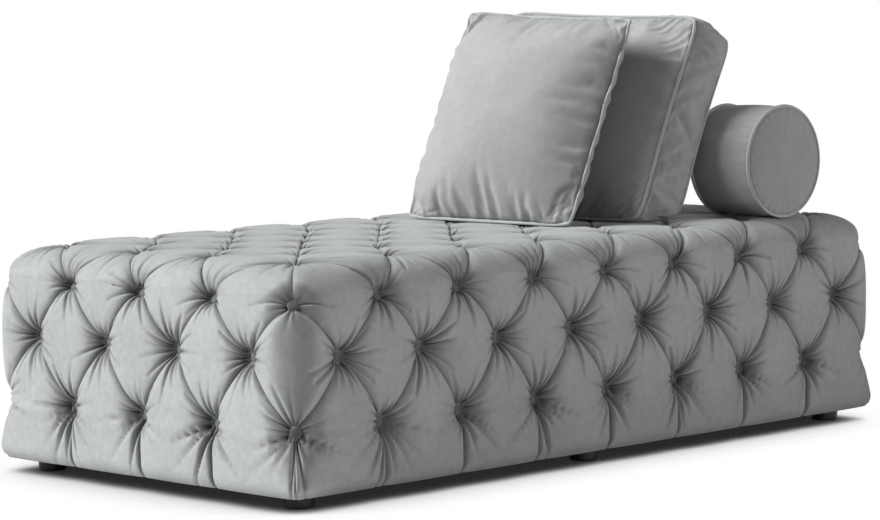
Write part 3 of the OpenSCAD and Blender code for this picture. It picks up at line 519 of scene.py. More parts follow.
def puff(p, r, rise, size):
    """Share of the full puff at the places p and r across the two families of pleats, and its painted shade.
    """
    radius = from_button(p, r, rise)[0]
    dome = np.sqrt(np.abs(np.sin(math.pi * p) * np.sin(math.pi * r)))
    height = VALLEY + SHOULDER * shoulder(p) * shoulder(r) + (1 - VALLEY - SHOULDER) * dome
    away = np.minimum(np.abs(p - np.round(p)), np.abs(r - np.round(r)))
    notch = NOTCH * np.exp(-(away / NOTCH_WIDTH) ** 1.2) * smooth((radius - 0.012) / 0.03)
    # The second value is painted shade, darkest in the pits and along the pleats' notches.
    return funnel(radius, size) * height - notch, pit_painted_shade(radius) + 0.5 * notch / NOTCH


def slack(x, y, z):
    """Slow uneven swelling of the whole cover, from -1 to 1, as a few sine waves in space."""
    return (np.sin(17 * x + 9 * y + 21 * z) + np.sin(-11 * x + 19 * y + 13 * z + 1.3)
            + np.sin(23 * x - 14 * y + 31 * z + 4.1)) / 3


# %% [markdown]
# ## Laps and puckers
# An upholsterer folds the spare cloth of each pleat under itself, so the upper puff hangs over the pleat
# like a lip and throws a thin shadow. Here the points just above a pleat slide down over it, and the pleat
# itself slides a little up under them. Round each button the cloth is pulled into short sharp rays of
# uneven length.

# %% Folds
LAP = 0.02
LAP_WIDTH = 0.03
TUCK = 0.012
RAYS = 17
RAY_DEPTH = 0.013
RAY_WIDTH = 0.003
RAY_SHORTEST = 0.016
RAY_SPREAD = 0.042


def lap(p, r):
    """Where the cloth at p, r is drawn to: p and r moved across the nearest pleats, more between buttons."""
    def drawn(x, hold, way):
        """X moved the way its pleat faces: back where it hangs over, ahead where it is tucked under."""
        past = x - np.floor(x) if way > 0 else np.ceil(x) - x
        short = 1 - past
        hang = -LAP * np.exp(-past / LAP_WIDTH) * (past > 1e-6)
        under = TUCK * (np.exp(-short / LAP_WIDTH) * (past > 1e-6) + (past <= 1e-6))
        return x + way * (hang + under) * hold
    hold_p = np.abs(np.sin(math.pi * r)) ** 0.7
    hold_r = np.abs(np.sin(math.pi * p)) ** 0.7
    return drawn(p, hold_p, 1), drawn(r, hold_r, -1)


def uneven(*numbers):
    """An even spread of values from 0 to 1 that looks random but is always the same."""
    mixed = sum(n * k for n, k in zip(numbers, (12.9898, 78.233, 37.719)))
    return np.mod(np.sin(mixed) * 43758.5453, 1)


def rays(radius, angle, near_p, near_r, rim=None, longer=1):
    """Radial puckers round a button, from 0 to 1 deep: thin grooves of uneven angle and length.
    rim is the row of buttons that two surfaces share, where the grooves fade towards the shared line.
    longer lengthens them."""
    turn = RAYS * angle / math.tau + uneven(near_p, near_r)
    number = np.mod(np.round(turn), RAYS)
    bent = turn - np.round(turn) + 0.5 * (uneven(near_p, number, near_r + 5) - 0.5)
    across = bent * math.tau / RAYS * radius
    length = longer * (RAY_SHORTEST + RAY_SPREAD * uneven(near_p, near_r, number) ** 1.3)
    groove = np.exp(-np.abs(across / RAY_WIDTH) ** 1.4)
    fade = smooth((radius - 0.009) / 0.008) * np.exp(-(np.maximum(radius - 0.016, 0) / length) ** 1.5)
    depth = groove * fade * (0.35 + 0.65 * uneven(near_r, near_p, number + 3))
    if rim is not None:
        at_rim = np.abs((near_p - near_r) / 2 - rim) < 0.01
        depth = depth * np.where(at_rim, smooth(np.abs(np.sin(angle)) * radius / 0.008), 1)
    return depth


# %% [markdown]
# ## Places of the sides and the top
# The sides run from the hem to the row of upper buttons, the top from there to the middle. Both are a base
# surface through the buttons plus a puff along a reach that tips from outward to upward over the rim.

# %% Sides
def side_points(a, t, swell, fine):
    """Points at a round the couch and t up it: base point plus swell times the reach and fine metres."""
    x, y, reach_x, reach_y = side_frame(a, smooth(-2 * t))
    z = np.where(t < 0.5, mix(LOW_Z, MID_Z, 2 * t), mix(MID_Z, UP_Z, 2 * t - 1))
    z = np.where(t < 0, mix(LOW_Z, HEM_Z, -2 * t), z)
    tip = TILT_SHARE * np.maximum(0, 2 * t - 1)
    length = np.sqrt(1 + tip * tip)
    size = np.hypot(reach_x, reach_y)
    lift = swell + fine / SIDE_PUFF
    return np.stack([
        x + lift * reach_x / length,
        y + lift * reach_y / length,
        z + lift * size * tip / length,
    ], -1)


# %% Top
def rolled(e, pitch):
    """Distance from the rectangle's edge at e spaces: a quarter turn, then even spaces."""
    bend = EDGE_INSET * (1 - np.cos(math.pi * np.clip(e, -0.5, 0.5)))
    return np.select([e < 0.5, e < 1], [bend, mix(EDGE_INSET, pitch, 2 * e - 1)], e * pitch)


def along(u, spaces, pitch, cross_e):
    """Place along the couch of u spaces, rolled over the end more the farther cross_e is from the corner."""
    e = np.minimum(u, spaces - u)
    inset = mix(e * pitch, rolled(e, pitch), np.clip(2 * cross_e, 0, 1))
    return np.where(u <= spaces / 2, inset - spaces * pitch / 2, spaces * pitch / 2 - inset)


def roll_share(e):
    """Outward and upward share of a rim puff at e spaces from the edge, and its height."""
    e = np.clip(e, 0, 0.5)
    up = mix(TILT_SHARE, 1, np.sin(math.pi * e))
    out = np.cos(math.pi * e)
    height = mix(SIDE_PUFF, TOP_PUFF, 2 * e) / np.hypot(up, out)
    return height * out, height * up


def top_reach(e_here, e_cross, pitch_here, pitch_cross):
    """Reach across one edge of the top, e_here from that edge and e_cross from the other."""
    outward, _ = reach(e_cross, pitch_cross)
    _, sideways = reach(e_here, pitch_here)
    corner = reach(np.zeros(1), pitch_here)[1][0]
    share = mix(sideways / corner, roll_share(e_here)[0] / roll_share(0)[0], smooth(2 * e_cross))
    return np.where(e_here < 0.5, outward * share / math.hypot(1, TILT_SHARE), 0)


def top_points(u, v, swell, fine):
    """Points of the top at u along and v across it, with the puff's swell and fine metres upward."""
    e_u = np.minimum(u, COLUMNS - u)
    e_v = np.minimum(v, ROWS - v)
    e = np.minimum(e_u, e_v)
    x = along(u, COLUMNS, PITCH_X, e_v)
    y = along(v, ROWS, PITCH_Y, e_u)
    z = mix(UP_Z, TOP_Z, np.sin(math.pi * np.clip(e, -0.5, 0.5)))
    reach_x = top_reach(np.maximum(e_u, 0), np.maximum(e_v, 0), PITCH_X, PITCH_Y)
    reach_y = top_reach(np.maximum(e_v, 0), np.maximum(e_u, 0), PITCH_Y, PITCH_X)
    out_c, side_c = reach(np.clip(np.maximum(e_u, e_v), 0, 0.5), PITCH_X)
    reach_z = roll_share(e)[1] * mix(np.hypot(out_c, side_c) / SIDE_PUFF, 1, smooth(2 * e))
    return np.stack([
        x + swell * reach_x * np.where(u < COLUMNS / 2, -1, 1),
        y + swell * reach_y * np.where(v < ROWS / 2, -1, 1),
        z + swell * reach_z + fine,
    ], -1)


# %% [markdown]
# ## Where the cushions press
# The seat gives a little under the three cushions. Each one's footprint is a box in which no point may
# stand higher than just under the cushion, and under the roll the seat follows its round belly.

# %% Seat dents
low_pillow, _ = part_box("pillow_cover")
low_back, high_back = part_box("back_cover")
low_roll, high_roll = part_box("bolster_piping")
CLEAR = 0.0012
UPPER_Z = 0.42


def dented(points):
    """The same points, held just under the pillow's strip, the back cushion's sole and the roll."""
    x, y, z = points.T
    strip = (x > low_pillow.x - 0.012) & (x < low_pillow.x + 0.08) & (np.abs(y - 0.012) < 0.24)
    sole = (x > low_back.x) & (x < high_back.x) & (y > low_back.y - 0.01) & (y < high_back.y + 0.01)
    z = np.where(strip & (z > UPPER_Z), np.minimum(z, low_pillow.z - CLEAR), z)
    z = np.where(sole & (z > UPPER_Z), np.minimum(z, low_back.z - CLEAR), z)
    roll_x = (low_roll.x + high_roll.x) / 2
    radius = (high_roll.x - low_roll.x) / 2
    under = (low_roll.z + high_roll.z) / 2 - np.sqrt(np.maximum(radius ** 2 - (x - roll_x) ** 2, 0)) - CLEAR
    beneath = (np.abs(x - roll_x) < 0.06) & (y > low_roll.y - 0.012) & (y < high_roll.y + 0.01)
    beneath &= z > UPPER_Z - 0.02
    z = np.where(beneath, np.minimum(z, under), z)
    return np.stack([x, y, z], -1)


# %% [markdown]
# ## Sewing the cover together
# Top and sides are one cloth, so they are worked out by one function. It draws each point into the laps,
# lets it swell with its puff, sinks the puckers in and notes how much painted shade each point gets, in the
# pits, along the pleats and in the puckers. The rim of the top is also the last row of the sides, and the
# lowest row of the sides is also the first of the hem.

# %% Cover points
# The most painted shade that any point of the cover gets.
DARKEST_PAINTED_SHADE = 0.88
LOOSENESS = 0.04
TOP_RIM_SIZE = 0.7
side_rows = 2 * STEPS
ring_n = TURNS * STEPS
grid_i = np.arange((COLUMNS + ROWS) * STEPS + 1)
top_i, top_j = np.meshgrid(grid_i, grid_i - ROWS * STEPS, indexing="ij")
cross = top_i - top_j
length = top_i + top_j
on_top = (cross >= 0) & (cross <= 2 * ROWS * STEPS) & (length >= 0) & (length <= 2 * COLUMNS * STEPS)
top_number = np.full(top_i.shape, -1)
top_number[on_top] = np.arange(on_top.sum())


def cover_swell(points_of, p, r, rise, size, rim):
    """Points for the places p, r drawn into laps, with a little slack and the puckers, and their painted
    shade.
    """
    flat = points_of((p + r) / 2, (p - r) / 2, np.zeros_like(p), 0)
    loose = 1 + LOOSENESS * (slack(*flat.T) - 1)
    drawn_p, drawn_r = lap(p, r)
    swell, painted_darkness = puff(p, r, rise, size)
    pucker = rays(*from_button(p, r, rise), rim)
    fine = -RAY_DEPTH * size * pucker
    points = points_of((drawn_p + drawn_r) / 2, (drawn_p - drawn_r) / 2, swell * loose, fine)
    # Painted shade in the pits, along the notches and in the pucker grooves.
    return points, np.clip(painted_darkness + 0.75 * pucker, 0, DARKEST_PAINTED_SHADE)


p_top = line_at(top_i[on_top])
r_top = line_at(top_j[on_top])
top_b = (p_top - r_top) / 2
top_a = (p_top + r_top) / 2
rim_near = np.minimum(np.minimum(top_a, COLUMNS - top_a), np.minimum(top_b, ROWS - top_b))
top_size = mix(1, TOP_RIM_SIZE, smooth(rim_near / 0.5))
top_part, top_shade = cover_swell(top_points, p_top, r_top, PITCH_Y, top_size, 0)
side_j, side_k = np.meshgrid(np.arange(ring_n), np.arange(side_rows), indexing="ij")
r_side = line_at(side_j.ravel())
p_side = line_at((side_j + side_k).ravel())
side_part, side_shade = cover_swell(side_points, p_side, r_side, SIDE_RISE, 1, 1)
print("top", len(top_part), "side", len(side_part))

# %% [markdown]
# ## The hem
# Below the lowest buttons the cloth hangs in wide flutes that flare out to the floor, one between every two
# buttons, and a single upright pleat runs down from each button. At its lower edge the cloth is rolled
# under, so the flare is drawn back in along a parabola. The edge rises and falls a little, as a hand-pulled
# edge does.

# %% Hem points
HEM_ROWS = 16
HEM_FLARE = 0.023
HEM_WAVE = 0.009
HEM_ROUND = 4.0
ROUND_FROM = 0.76
FULL_FLARE_AT = 0.85
PLEAT_DEPTH = 1.5 * NOTCH
EDGE_WAVE = 0.0014
EDGE_LIFT = 0.0025
hem_a, hem_s = np.meshgrid(line_at(np.arange(ring_n)), np.linspace(0, 1, HEM_ROWS + 1)[1:])
flute = np.abs(np.sin(math.pi * hem_a))
hem_drop = hem_s * (LOW_Z - HEM_Z)
hem_run = np.abs(hem_a - np.round(hem_a)) * PITCH_X
hem_radius = np.hypot(hem_run, hem_drop)
upper_shape = VALLEY + SHOULDER * shoulder(hem_a) ** 2 + (1 - VALLEY - SHOULDER) * flute
rolled_in = HEM_ROUND * np.maximum(hem_s / ROUND_FROM - 1, 0) ** 2
lower_shape = (HEM_FLARE + HEM_WAVE * flute ** 0.6) / SIDE_PUFF * (1 - rolled_in)
hem_shape = mix(upper_shape, lower_shape, smooth(hem_s / FULL_FLARE_AT))
pleat = PLEAT_DEPTH * np.exp(-(hem_run / 0.003) ** 1.2) * smooth((hem_radius - 0.012) / 0.02)
hem_swell = funnel(hem_radius, 1) * hem_shape - pleat * (1 - 0.4 * hem_s)
hem_button = np.round(hem_a)
hem_across = (hem_a - hem_button) * (PITCH_X + PITCH_Y) / 2
hem_radius_mean = np.hypot(hem_across, hem_drop)
below_button = smooth(hem_drop / 0.02)
hem_pucker = rays(hem_radius_mean, np.arctan2(-hem_drop, hem_across), hem_button, hem_button,
                  longer=1 + 0.5 * below_button)
hem_fine = -RAY_DEPTH * (1 + 0.7 * below_button) * hem_pucker
hem_part = side_points(hem_a.ravel(), -hem_s.ravel() / 2, hem_swell.ravel(), hem_fine.ravel())
hem_part[:, 2] += ((EDGE_WAVE * ripple(hem_a * 0.9, 0.6, 2.3) + EDGE_WAVE) * hem_s ** 3).ravel()
# Painted shade round the buttons, along the hem's pleats and in its pucker grooves.
hem_painted_darkness = pit_painted_shade(hem_radius) + 0.3 * pleat / PLEAT_DEPTH
hem_shade = np.clip(hem_painted_darkness + 0.8 * hem_pucker, 0, DARKEST_PAINTED_SHADE).ravel()

# %% [markdown]
# ## Closing the cover
# Inside, a plain wall against the foam closes the cover, so that it is one sealed body. Faces join
# neighbours in the numbered rows, and the half squares along the rim and the lowest row become triangles.

# %% Inner wall
CLOTH = 0.003
ring_x, ring_y, _, _ = side_frame(line_at(np.arange(ring_n)))


def inner_ring(inset, z):
    """The button rectangle made smaller all round by inset, at the height z."""
    x = ring_x * (HALF_L - inset) / HALF_L
    y = ring_y * (HALF_W - inset) / HALF_W
    return np.stack([x, y, np.full(ring_n, z)], -1)


rounding = hem_part[-ring_n:] * (1, 1, 0) + (0, 0, HEM_Z)
hem_part[-ring_n:, 2] += EDGE_LIFT
tucked_in = mix(rounding, inner_ring(CLOTH, HEM_Z), 0.12)
inside = np.concatenate([
    tucked_in,
    inner_ring(CLOTH, HEM_Z),
    inner_ring(CLOTH, UP_Z - CLOTH),
    inner_ring(EDGE_INSET + CLOTH, TOP_Z - CLOTH),
    [[0, 0, TOP_Z - CLOTH]],
])

# %% Cover faces
n_top = len(top_part)
n_side = ring_n * side_rows
around = faces_of(top_number, True)
missing = (around < 0).sum(1)
top_quads = around[missing == 0]
halves = around[missing == 1]
gap = np.argmin(halves, axis=1)
top_triangles = np.stack([halves[np.arange(len(halves)), (gap + s) % 4] for s in (1, 2, 3)], -1)

n = np.arange(ring_n)
rim_cross = np.interp(n, CORNERS * STEPS, np.array([0, 0, 2, 2, 0]) * ROWS * STEPS).round().astype(int)
rim_length = np.interp(n, CORNERS * STEPS, np.array([0, 2, 2, 0, 0]) * COLUMNS * STEPS).round().astype(int)
rim_number = top_number[(rim_length + rim_cross) // 2, (rim_length - rim_cross) // 2 + ROWS * STEPS]


def side_number(j, k):
    """Number of the point k steps up from place j of the lowest row; the last row is the rim of the top."""
    return np.where(k == side_rows, rim_number[(j + STEPS) % ring_n],
                    n_top + (j % ring_n) * side_rows + np.minimum(k, side_rows - 1))


j, k = (m.ravel() for m in np.meshgrid(n, np.arange(1, side_rows), indexing="ij"))
side_quads = np.stack([
    side_number(j, k), side_number(j + 1, k - 1), side_number(j + 1, k), side_number(j, k + 1)], -1)
low_triangles = np.stack([side_number(n, 0 * n), side_number(n + 1, 0 * n), side_number(n, 0 * n + 1)], -1)
full = 0 * n + side_rows
high_triangles = np.stack([side_number(n, full), side_number(n + 1, full - 1), side_number(n + 1, full)], -1)

# %% Cover piece
n_hem = n_top + n_side
lid_centre = n_hem + (HEM_ROWS + 4) * ring_n
rings = np.concatenate([side_number(n, 0 * n)[None, :], np.arange(n_hem, lid_centre).reshape(-1, ring_n)])
ring_quads = faces_of(np.pad(rings, ((0, 0), (0, 1)), "wrap"))[:, [1, 2, 3, 0]]
lid_triangles = np.stack([rings[-1], 0 * n + lid_centre, np.roll(rings[-1], -1)], -1)
cover_points = np.concatenate([dented(top_part), side_part, hem_part, inside])
cover = piece(
    "velvet_cover", cover_points, np.concatenate([top_quads, side_quads, ring_quads]),
    np.concatenate([top_triangles, low_triangles, high_triangles, lid_triangles]),
    velvet, "velvet", "base", "tufted_cover",
    painted_shade=np.concatenate([top_shade, side_shade, hem_shade, np.zeros(len(inside))]))

# %% [markdown]
# ## Covered buttons
# A covered button is a shallow dome with its edge turned under into a cone. It is a profile turned about
# the button's own axis. All the buttons of one face share one mesh: the turned profile is made once, and
# numpy lays a copy along the normal of every button at once.

# %% Buttons
BUTTON_R = 0.0105
BUTTON_SIDES = 16
SUNK = 0.002
CORNER_SUNK = 0.005
profile = np.array([
    (0, 0), (0.8, 0.0018), (1, 0.003), (0.97, 0.0044), (0.8, 0.0054), (0.45, 0.0061), (0, 0.0063)])
profile[:, 0] *= BUTTON_R


def turned_profile(rings_of, sides):
    """Points and faces of a profile of radius and height turned about Z, with its two poles closed."""
    angle = math.tau * np.arange(sides) / sides
    radius, height = rings_of[1:-1].T[:, :, None]
    rings = np.stack([radius * np.cos(angle), radius * np.sin(angle), height + 0 * angle], -1).reshape(-1, 3)
    points = np.concatenate([rings, [[0, 0, rings_of[0, 1]], [0, 0, rings_of[-1, 1]]]])
    return points, grid_quads(sides, len(rings_of) - 2, wrap=True), pole_fans(sides, len(rings))


def buttons(name, places, normals, node):
    """One mesh of copies of the turned button at each place along each normal."""
    points, quads, triangles = turned_profile(profile, BUTTON_SIDES)
    normals = normals / np.linalg.norm(normals, axis=1, keepdims=True)
    helper = np.where(np.abs(normals[:, 2:]) > 0.9, (1.0, 0, 0), (0, 0, 1.0))
    side = np.cross(helper, normals)
    side /= np.linalg.norm(side, axis=1, keepdims=True)
    third = np.cross(normals, side)
    axes = np.stack([side, third, normals], 1)
    every = (places[:, None, :] + points @ axes).reshape(-1, 3)
    shift = (np.arange(len(places)) * len(points))[:, None, None]
    return piece(name, every, (quads + shift).reshape(-1, 4), (triangles + shift).reshape(-1, 3),
                 velvet_button, "velvet_button", "base", node)


def side_buttons(a, t):
    """Places and normals of the side's buttons at a round the couch and t up it."""
    x, y, reach_x, reach_y = side_frame(a)
    size = np.hypot(reach_x, reach_y)
    z = np.where(t < 0.5, LOW_Z, np.where(t < 1, MID_Z, UP_Z))
    return np.stack([x, y, z], -1), np.stack([reach_x / size, reach_y / size, TILT_SHARE * (t > 0.9)], -1)


whole = np.arange(TURNS, dtype=float)
row_a = np.concatenate([whole, whole + 0.5, whole])
row_t = np.repeat([0.0, 0.5, 1.0], TURNS)
places, normals = side_buttons(row_a, row_t)
from_corner = np.abs(np.abs(places[:, 0]) - HALF_L) + np.abs(np.abs(places[:, 1]) - HALF_W)
sunk = np.where(from_corner < 0.001, CORNER_SUNK, SUNK)
places = places - sunk[:, None] * normals / np.linalg.norm(normals, axis=1, keepdims=True)
on_near = places[:, 1] < 0.002 - HALF_W
on_far = places[:, 1] > HALF_W - 0.002
on_end = ~on_near & ~on_far
on_head = on_end & (places[:, 0] > 0)
on_foot = on_end & (places[:, 0] < 0)
for label, chosen in (("near", on_near), ("far", on_far), ("head", on_head), ("foot", on_foot)):
    buttons(f"{label}_side_buttons", places[chosen], normals[chosen], f"{label}_buttons")
half_u, half_v = (m.ravel() for m in np.meshgrid(np.arange(COLUMNS) + 0.5, np.arange(ROWS) + 0.5))
whole_u, whole_v = (m.ravel() for m in np.meshgrid(np.arange(1, COLUMNS), np.arange(1, ROWS)))
top_u = np.concatenate([half_u, whole_u])
top_v = np.concatenate([half_v, whole_v])
spots = top_points(top_u, top_v, 0 * top_u, 0)
buttons("seat_buttons", spots, np.tile([0.0, 0, 1], (len(spots), 1)), "top_buttons")

# %% [markdown]
# ## Loose cushions: shared forms
# A cushion stands on the seat and leans back. Its face is a grid of shares from -1 to 1 across and up. The
# outline draws in a little between the corners, because a filled cover has spare cloth only there, and each
# corner is rounded off. Both cushions sink a little at their near top corner, so the height of a point
# there is lowered, the more the higher it lies. Whatever would sink into the seat is flattened at the
# seat's level.

# %% Leaning forms
LEAN = math.radians(25)
DRAW = 0.03
CORNER_SHARE = 0.045
PIPE_R = 0.0035
PIPE_SIDES = 12
PIPE_ANGLE = math.tau * np.arange(PIPE_SIDES) / PIPE_SIDES
PAD_STEPS = 76
LEAN_NORMAL = np.array([math.cos(LEAN), 0, -math.sin(LEAN)])


def leaning(w, h, n, origin):
    """Point w across the couch, h up the lean and n back from the front face."""
    w, h, n = np.broadcast_arrays(w, h, n)
    x = h * math.sin(LEAN) + n * math.cos(LEAN)
    z = h * math.cos(LEAN) - n * math.sin(LEAN)
    return origin + np.stack([x, w, z], -1)


def sloped(w, h, width, height, left, right):
    """Height h on a face whose top edge is moved up by left at its far end and by right at its near end."""
    return h + mix(right, left, w / width + 0.5) * np.maximum(h / height, 0) ** 1.5


def crowded(count):
    """Shares from -1 to 1 that lie twice as close at both ends."""
    s = np.linspace(-1, 1, count + 1)
    return s + 0.45 * np.sin(math.pi * s) / math.pi


def rounded(u, v, share):
    """The shares u and v with the corners of their square drawn in by a share of it."""
    return u * (1 - share * v ** 12), v * (1 - share * u ** 12)


def pad_crown(u, v):
    """Height of a filled face over its seams, from 0 at the seams to 1 in the middle."""
    return np.sqrt(np.maximum(0, (1 - u * u) * (1 - v * v)))


def rested(points, level_z):
    """The same points, none lower than the seat's level."""
    return np.concatenate([points[:, :2], np.maximum(points[:, 2:], level_z)], axis=1)


def square_path(count):
    """Shares u, v once round a square, closer together at its corners."""
    step = crowded(count)[:-1]
    ones = np.ones(count)
    return np.concatenate([step, ones, -step, -ones]), np.concatenate([-ones, step, ones, -step])


def pipe(name, path, across, body, node):
    """A tube along a closed path: cosine times outward plus sine times across, ruched by a small sine."""
    way = np.roll(path, -1, 0) - np.roll(path, 1, 0)
    way /= np.linalg.norm(way, axis=1, keepdims=True)
    out = np.cross(way, across)
    out /= np.linalg.norm(out, axis=1, keepdims=True)
    ruched = 1 + 0.04 * np.sin(np.arange(len(path)) * 1.9)[:, None, None]
    ring = out[:, None] * np.cos(PIPE_ANGLE)[:, None] + across * np.sin(PIPE_ANGLE)[:, None]
    points = (path[:, None] + PIPE_R * ruched * ring).reshape(-1, 3)
    quads = grid_quads(PIPE_SIDES, len(path), wrap=True, closed=True)[:, ::-1]
    return piece(name, points, quads, [], velvet_piping, "velvet_piping", body, node)


# %% [markdown]
# ## Cloth under pressure
# The wrinkles of a filled cover can't be drawn, they are found: the cover is cut a little too large, sewn
# fast along its seams and blown up. Blender's Cloth does that for twenty frames. The points are read back
# and the helper object is thrown away, so that nothing stays live. A soft cap limits how far any point
# travels.


# %% Blow up
BLOWN_FRAMES = 20


def blow_up(points, quads, held, spare, cap):
    """Points of the closed cover after some frames of pressure, with a share of spare cloth and held seams.
    Each point's step is bent to cap times the hyperbolic tangent of step over cap."""
    mesh = bpy.data.meshes.new("blown")
    mesh.from_pydata(points.tolist(), [], quads.tolist())
    item = add_object("blown", mesh)
    item.vertex_groups.new(name="held").add(np.asarray(held).tolist(), 1.0, "REPLACE")
    cloth = item.modifiers.new("cloth", "CLOTH")
    cloth.collision_settings.use_collision = False
    rules = cloth.settings
    rules.vertex_group_mass = "held"
    rules.quality = 6
    rules.mass = 0.15
    rules.tension_stiffness = 20
    rules.compression_stiffness = 20
    rules.shear_stiffness = 6
    rules.bending_stiffness = 0.08
    rules.use_pressure = True
    rules.uniform_pressure_force = 4
    rules.shrink_min = -spare
    rules.effector_weights.gravity = 0
    for number in range(1, BLOWN_FRAMES + 1):
        bpy.context.scene.frame_set(number)
    blown = item.evaluated_get(bpy.context.evaluated_depsgraph_get()).data
    found = np.empty(3 * len(points), np.float32)
    blown.vertices.foreach_get("co", found)
    bpy.data.objects.remove(item)
    bpy.data.meshes.remove(mesh)
    bpy.context.scene.frame_set(1)
    step = found.reshape(-1, 3) - points
    size = np.maximum(np.linalg.norm(step, axis=1, keepdims=True), 1e-9)
    print("moved", round(size.mean() * 1000, 1), "mm on average,", round(size.max() * 1000, 1), "at most")
    return points + step / size * cap * np.tanh(size / cap)


# %% [markdown]
# ## Zips
# Each zip lies in a slit of its cover, where the CAD has it. The slit is cut out of the finished cover with
# a box that is fitted round the zip along its own three directions and open to the outside.

# %% Slits
SLIT_GAP = 0.0012
SLIT_OUT = 0.03


def slit(cover, node, along_it, inward):
    """Cuts the box round a zip out of its cover, after one round of subdivision, and keeps the mesh."""
    co = np.array([v.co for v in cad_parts[node].data.vertices])
    axes = np.array([along_it, np.cross(inward, along_it), inward])
    low = (co @ axes.T).min(0) - SLIT_GAP
    high = (co @ axes.T).max(0) + SLIT_GAP
    low[2] -= SLIT_OUT
    corners = np.stack(np.meshgrid(*zip(low, high), indexing="ij"), -1).reshape(-1, 3)
    sides = [(0, 1, 3, 2), (4, 6, 7, 5), (0, 4, 5, 1), (2, 3, 7, 6), (0, 2, 6, 4), (1, 5, 7, 3)]
    mesh = bpy.data.meshes.new("cutter")
    mesh.from_pydata((corners @ axes).tolist(), [], sides)
    cutter = add_object("cutter", mesh)
    finer = cover.modifiers.new("finer", "SUBSURF")
    finer.levels = 1
    finer.render_levels = 1
    cut = cover.modifiers.new("slit", "BOOLEAN")
    cut.operation = "DIFFERENCE"
    cut.object = cutter
    done = bpy.data.meshes.new_from_object(cover.evaluated_get(bpy.context.evaluated_depsgraph_get()))
    cover.modifiers.clear()
    cover.data = done
    done.set_sharp_from_angle(angle=math.radians(50))
    bpy.data.objects.remove(cutter)
    bpy.data.meshes.remove(mesh)
    print(cover.name, len(done.vertices), "points with its slit")


# %% [markdown]
# ## Scatter pillow
# Two squares of velvet are sewn round their edge with piping between them and filled hard in the middle.
# Both faces are one formula with opposite signs and share the points of the seam. Short ripples near the
# seam start the wrinkles that the blowing up then finishes. Beside the piping the colour gets painted
# shade, darker towards the seam.

# %% Pillow
PILLOW_W = 0.484
PILLOW_T = 0.150
FILLING_T = 0.130
FILLING_LESS = 0.018
ZIP_ROOM = 0.0105
PILLOW_ORIGIN = np.array([0.122, 0.012, low_pillow.z + PIPE_R])


def seam_painted_shade(edge, width):
    """Painted shade beside a seam, where edge is 1."""
    return 0.62 * np.exp(-(1 - np.abs(edge)) / width)


def pillow_places(u, v, face, less, thickness=PILLOW_T):
    """Points of one face of the pillow, made smaller all round by less."""
    size = PILLOW_W - 2 * less
    across, up = rounded(u, v, CORNER_SHARE / 2)
    w = size / 2 * across * (1 - DRAW / 2 * (1 - v * v))
    h = less + size / 2 * (1 + up * (1 - np.where(v > 0, DRAW * (1 - u * u), 0)))
    round_s = np.where(np.abs(u) > np.abs(v), v * np.sign(u) + 2 * np.sign(u), u - 1)
    edge = np.maximum(np.abs(u), np.abs(v))
    gather = ripple(round_s * 2, 1.7 + face, 17) * np.exp(-(1 - edge) / 0.13) * (edge < 1)
    thick = (thickness / 2 - less) * pad_crown(u, v) + (less == 0) * 0.004 * gather
    return leaning(w, sloped(w, h, PILLOW_W, PILLOW_W, 0.001, -0.019), face * thick, PILLOW_ORIGIN)


def two_faced(front, rear, count):
    """Joins two grids of points along their shared edge: points, faces turned out, numbers of the edge."""
    i, j = np.meshgrid(np.arange(count + 1), np.arange(count + 1))
    edge = (i == 0) | (j == 0) | (i == count) | (j == count)
    number = j * (count + 1) + i
    rear_number = number.copy()
    rear_number[~edge] = (count + 1) ** 2 + np.arange((~edge).sum())
    points = np.concatenate([front.reshape(-1, 3), rear[~edge]])
    return points, np.concatenate([faces_of(number), faces_of(rear_number, True)]), number[edge]


shares = crowded(PAD_STEPS)
grid_u, grid_v = np.meshgrid(shares, shares)
from_middle = np.maximum(np.abs(grid_u), np.abs(grid_v))
inner = from_middle < 0.9999
# Painted shade beside the pillow's seam, also used on the back cushion's faces.
face_shade = seam_painted_shade(from_middle, 0.012)
faces = [pillow_places(grid_u, grid_v, face, 0) for face in (-1, 1)]
points, quads, seam = two_faced(*faces, PAD_STEPS)
points = rested(blow_up(points, quads, seam, spare=0.055, cap=0.022), low_pillow.z)
pillow = piece("pillow_velvet", points, quads, [], velvet_cushion, "velvet", "scatter_pillow", "pillow_cover",
               painted_shade=np.concatenate([face_shade.ravel(), face_shade[inner]]))
slit(pillow, "pillow_zip", (0, 1.0, 0), (0, 0, 1.0))
faces = [pillow_places(grid_u, grid_v, face, FILLING_LESS, FILLING_T) for face in (-1, 1)]
points, quads, _ = two_faced(*faces, PAD_STEPS)
points = rested(points, low_pillow.z + ZIP_ROOM)
pillow_filling = piece("pillow_filling", points, quads, [], FINISHES["wadding"], "wadding", "scatter_pillow",
                       "pillow_insert")

# %% Pillow piping
path_u, path_v = square_path(PAD_STEPS)
seam = pillow_places(path_u, path_v, 0, 0)
wobble = 0.0024 * ripple(np.arange(len(seam)) * 8 / len(seam), 0.8, 17)[:, None] * LEAN_NORMAL
free = smooth((seam[:, 2:] - low_pillow.z - 0.02) / 0.05)
pipe("pillow_pipe", seam + wobble * free, LEAN_NORMAL, "scatter_pillow", "pillow_piping")

# %% [markdown]
# ## Back cushion
# A boxed cushion has a front, a rear and a band between them, with piping on both seams. The front swells
# more than the rear, which is leaned on. The band bulges between the seams and starts with slow uneven
# ripples. Again the spare cloth makes the wrinkles, and shade is painted beside both seams.

# %% Back cushion
BACK_W = 0.556
BACK_H = 0.476
BACK_T = 0.112
FRONT_CROWN = 0.036
REAR_CROWN = 0.026
BAND_CROWN = 0.007
BAND_ROWS = 16
BACK_ORIGIN = np.array([0.267646, -0.012, low_back.z + PIPE_R])


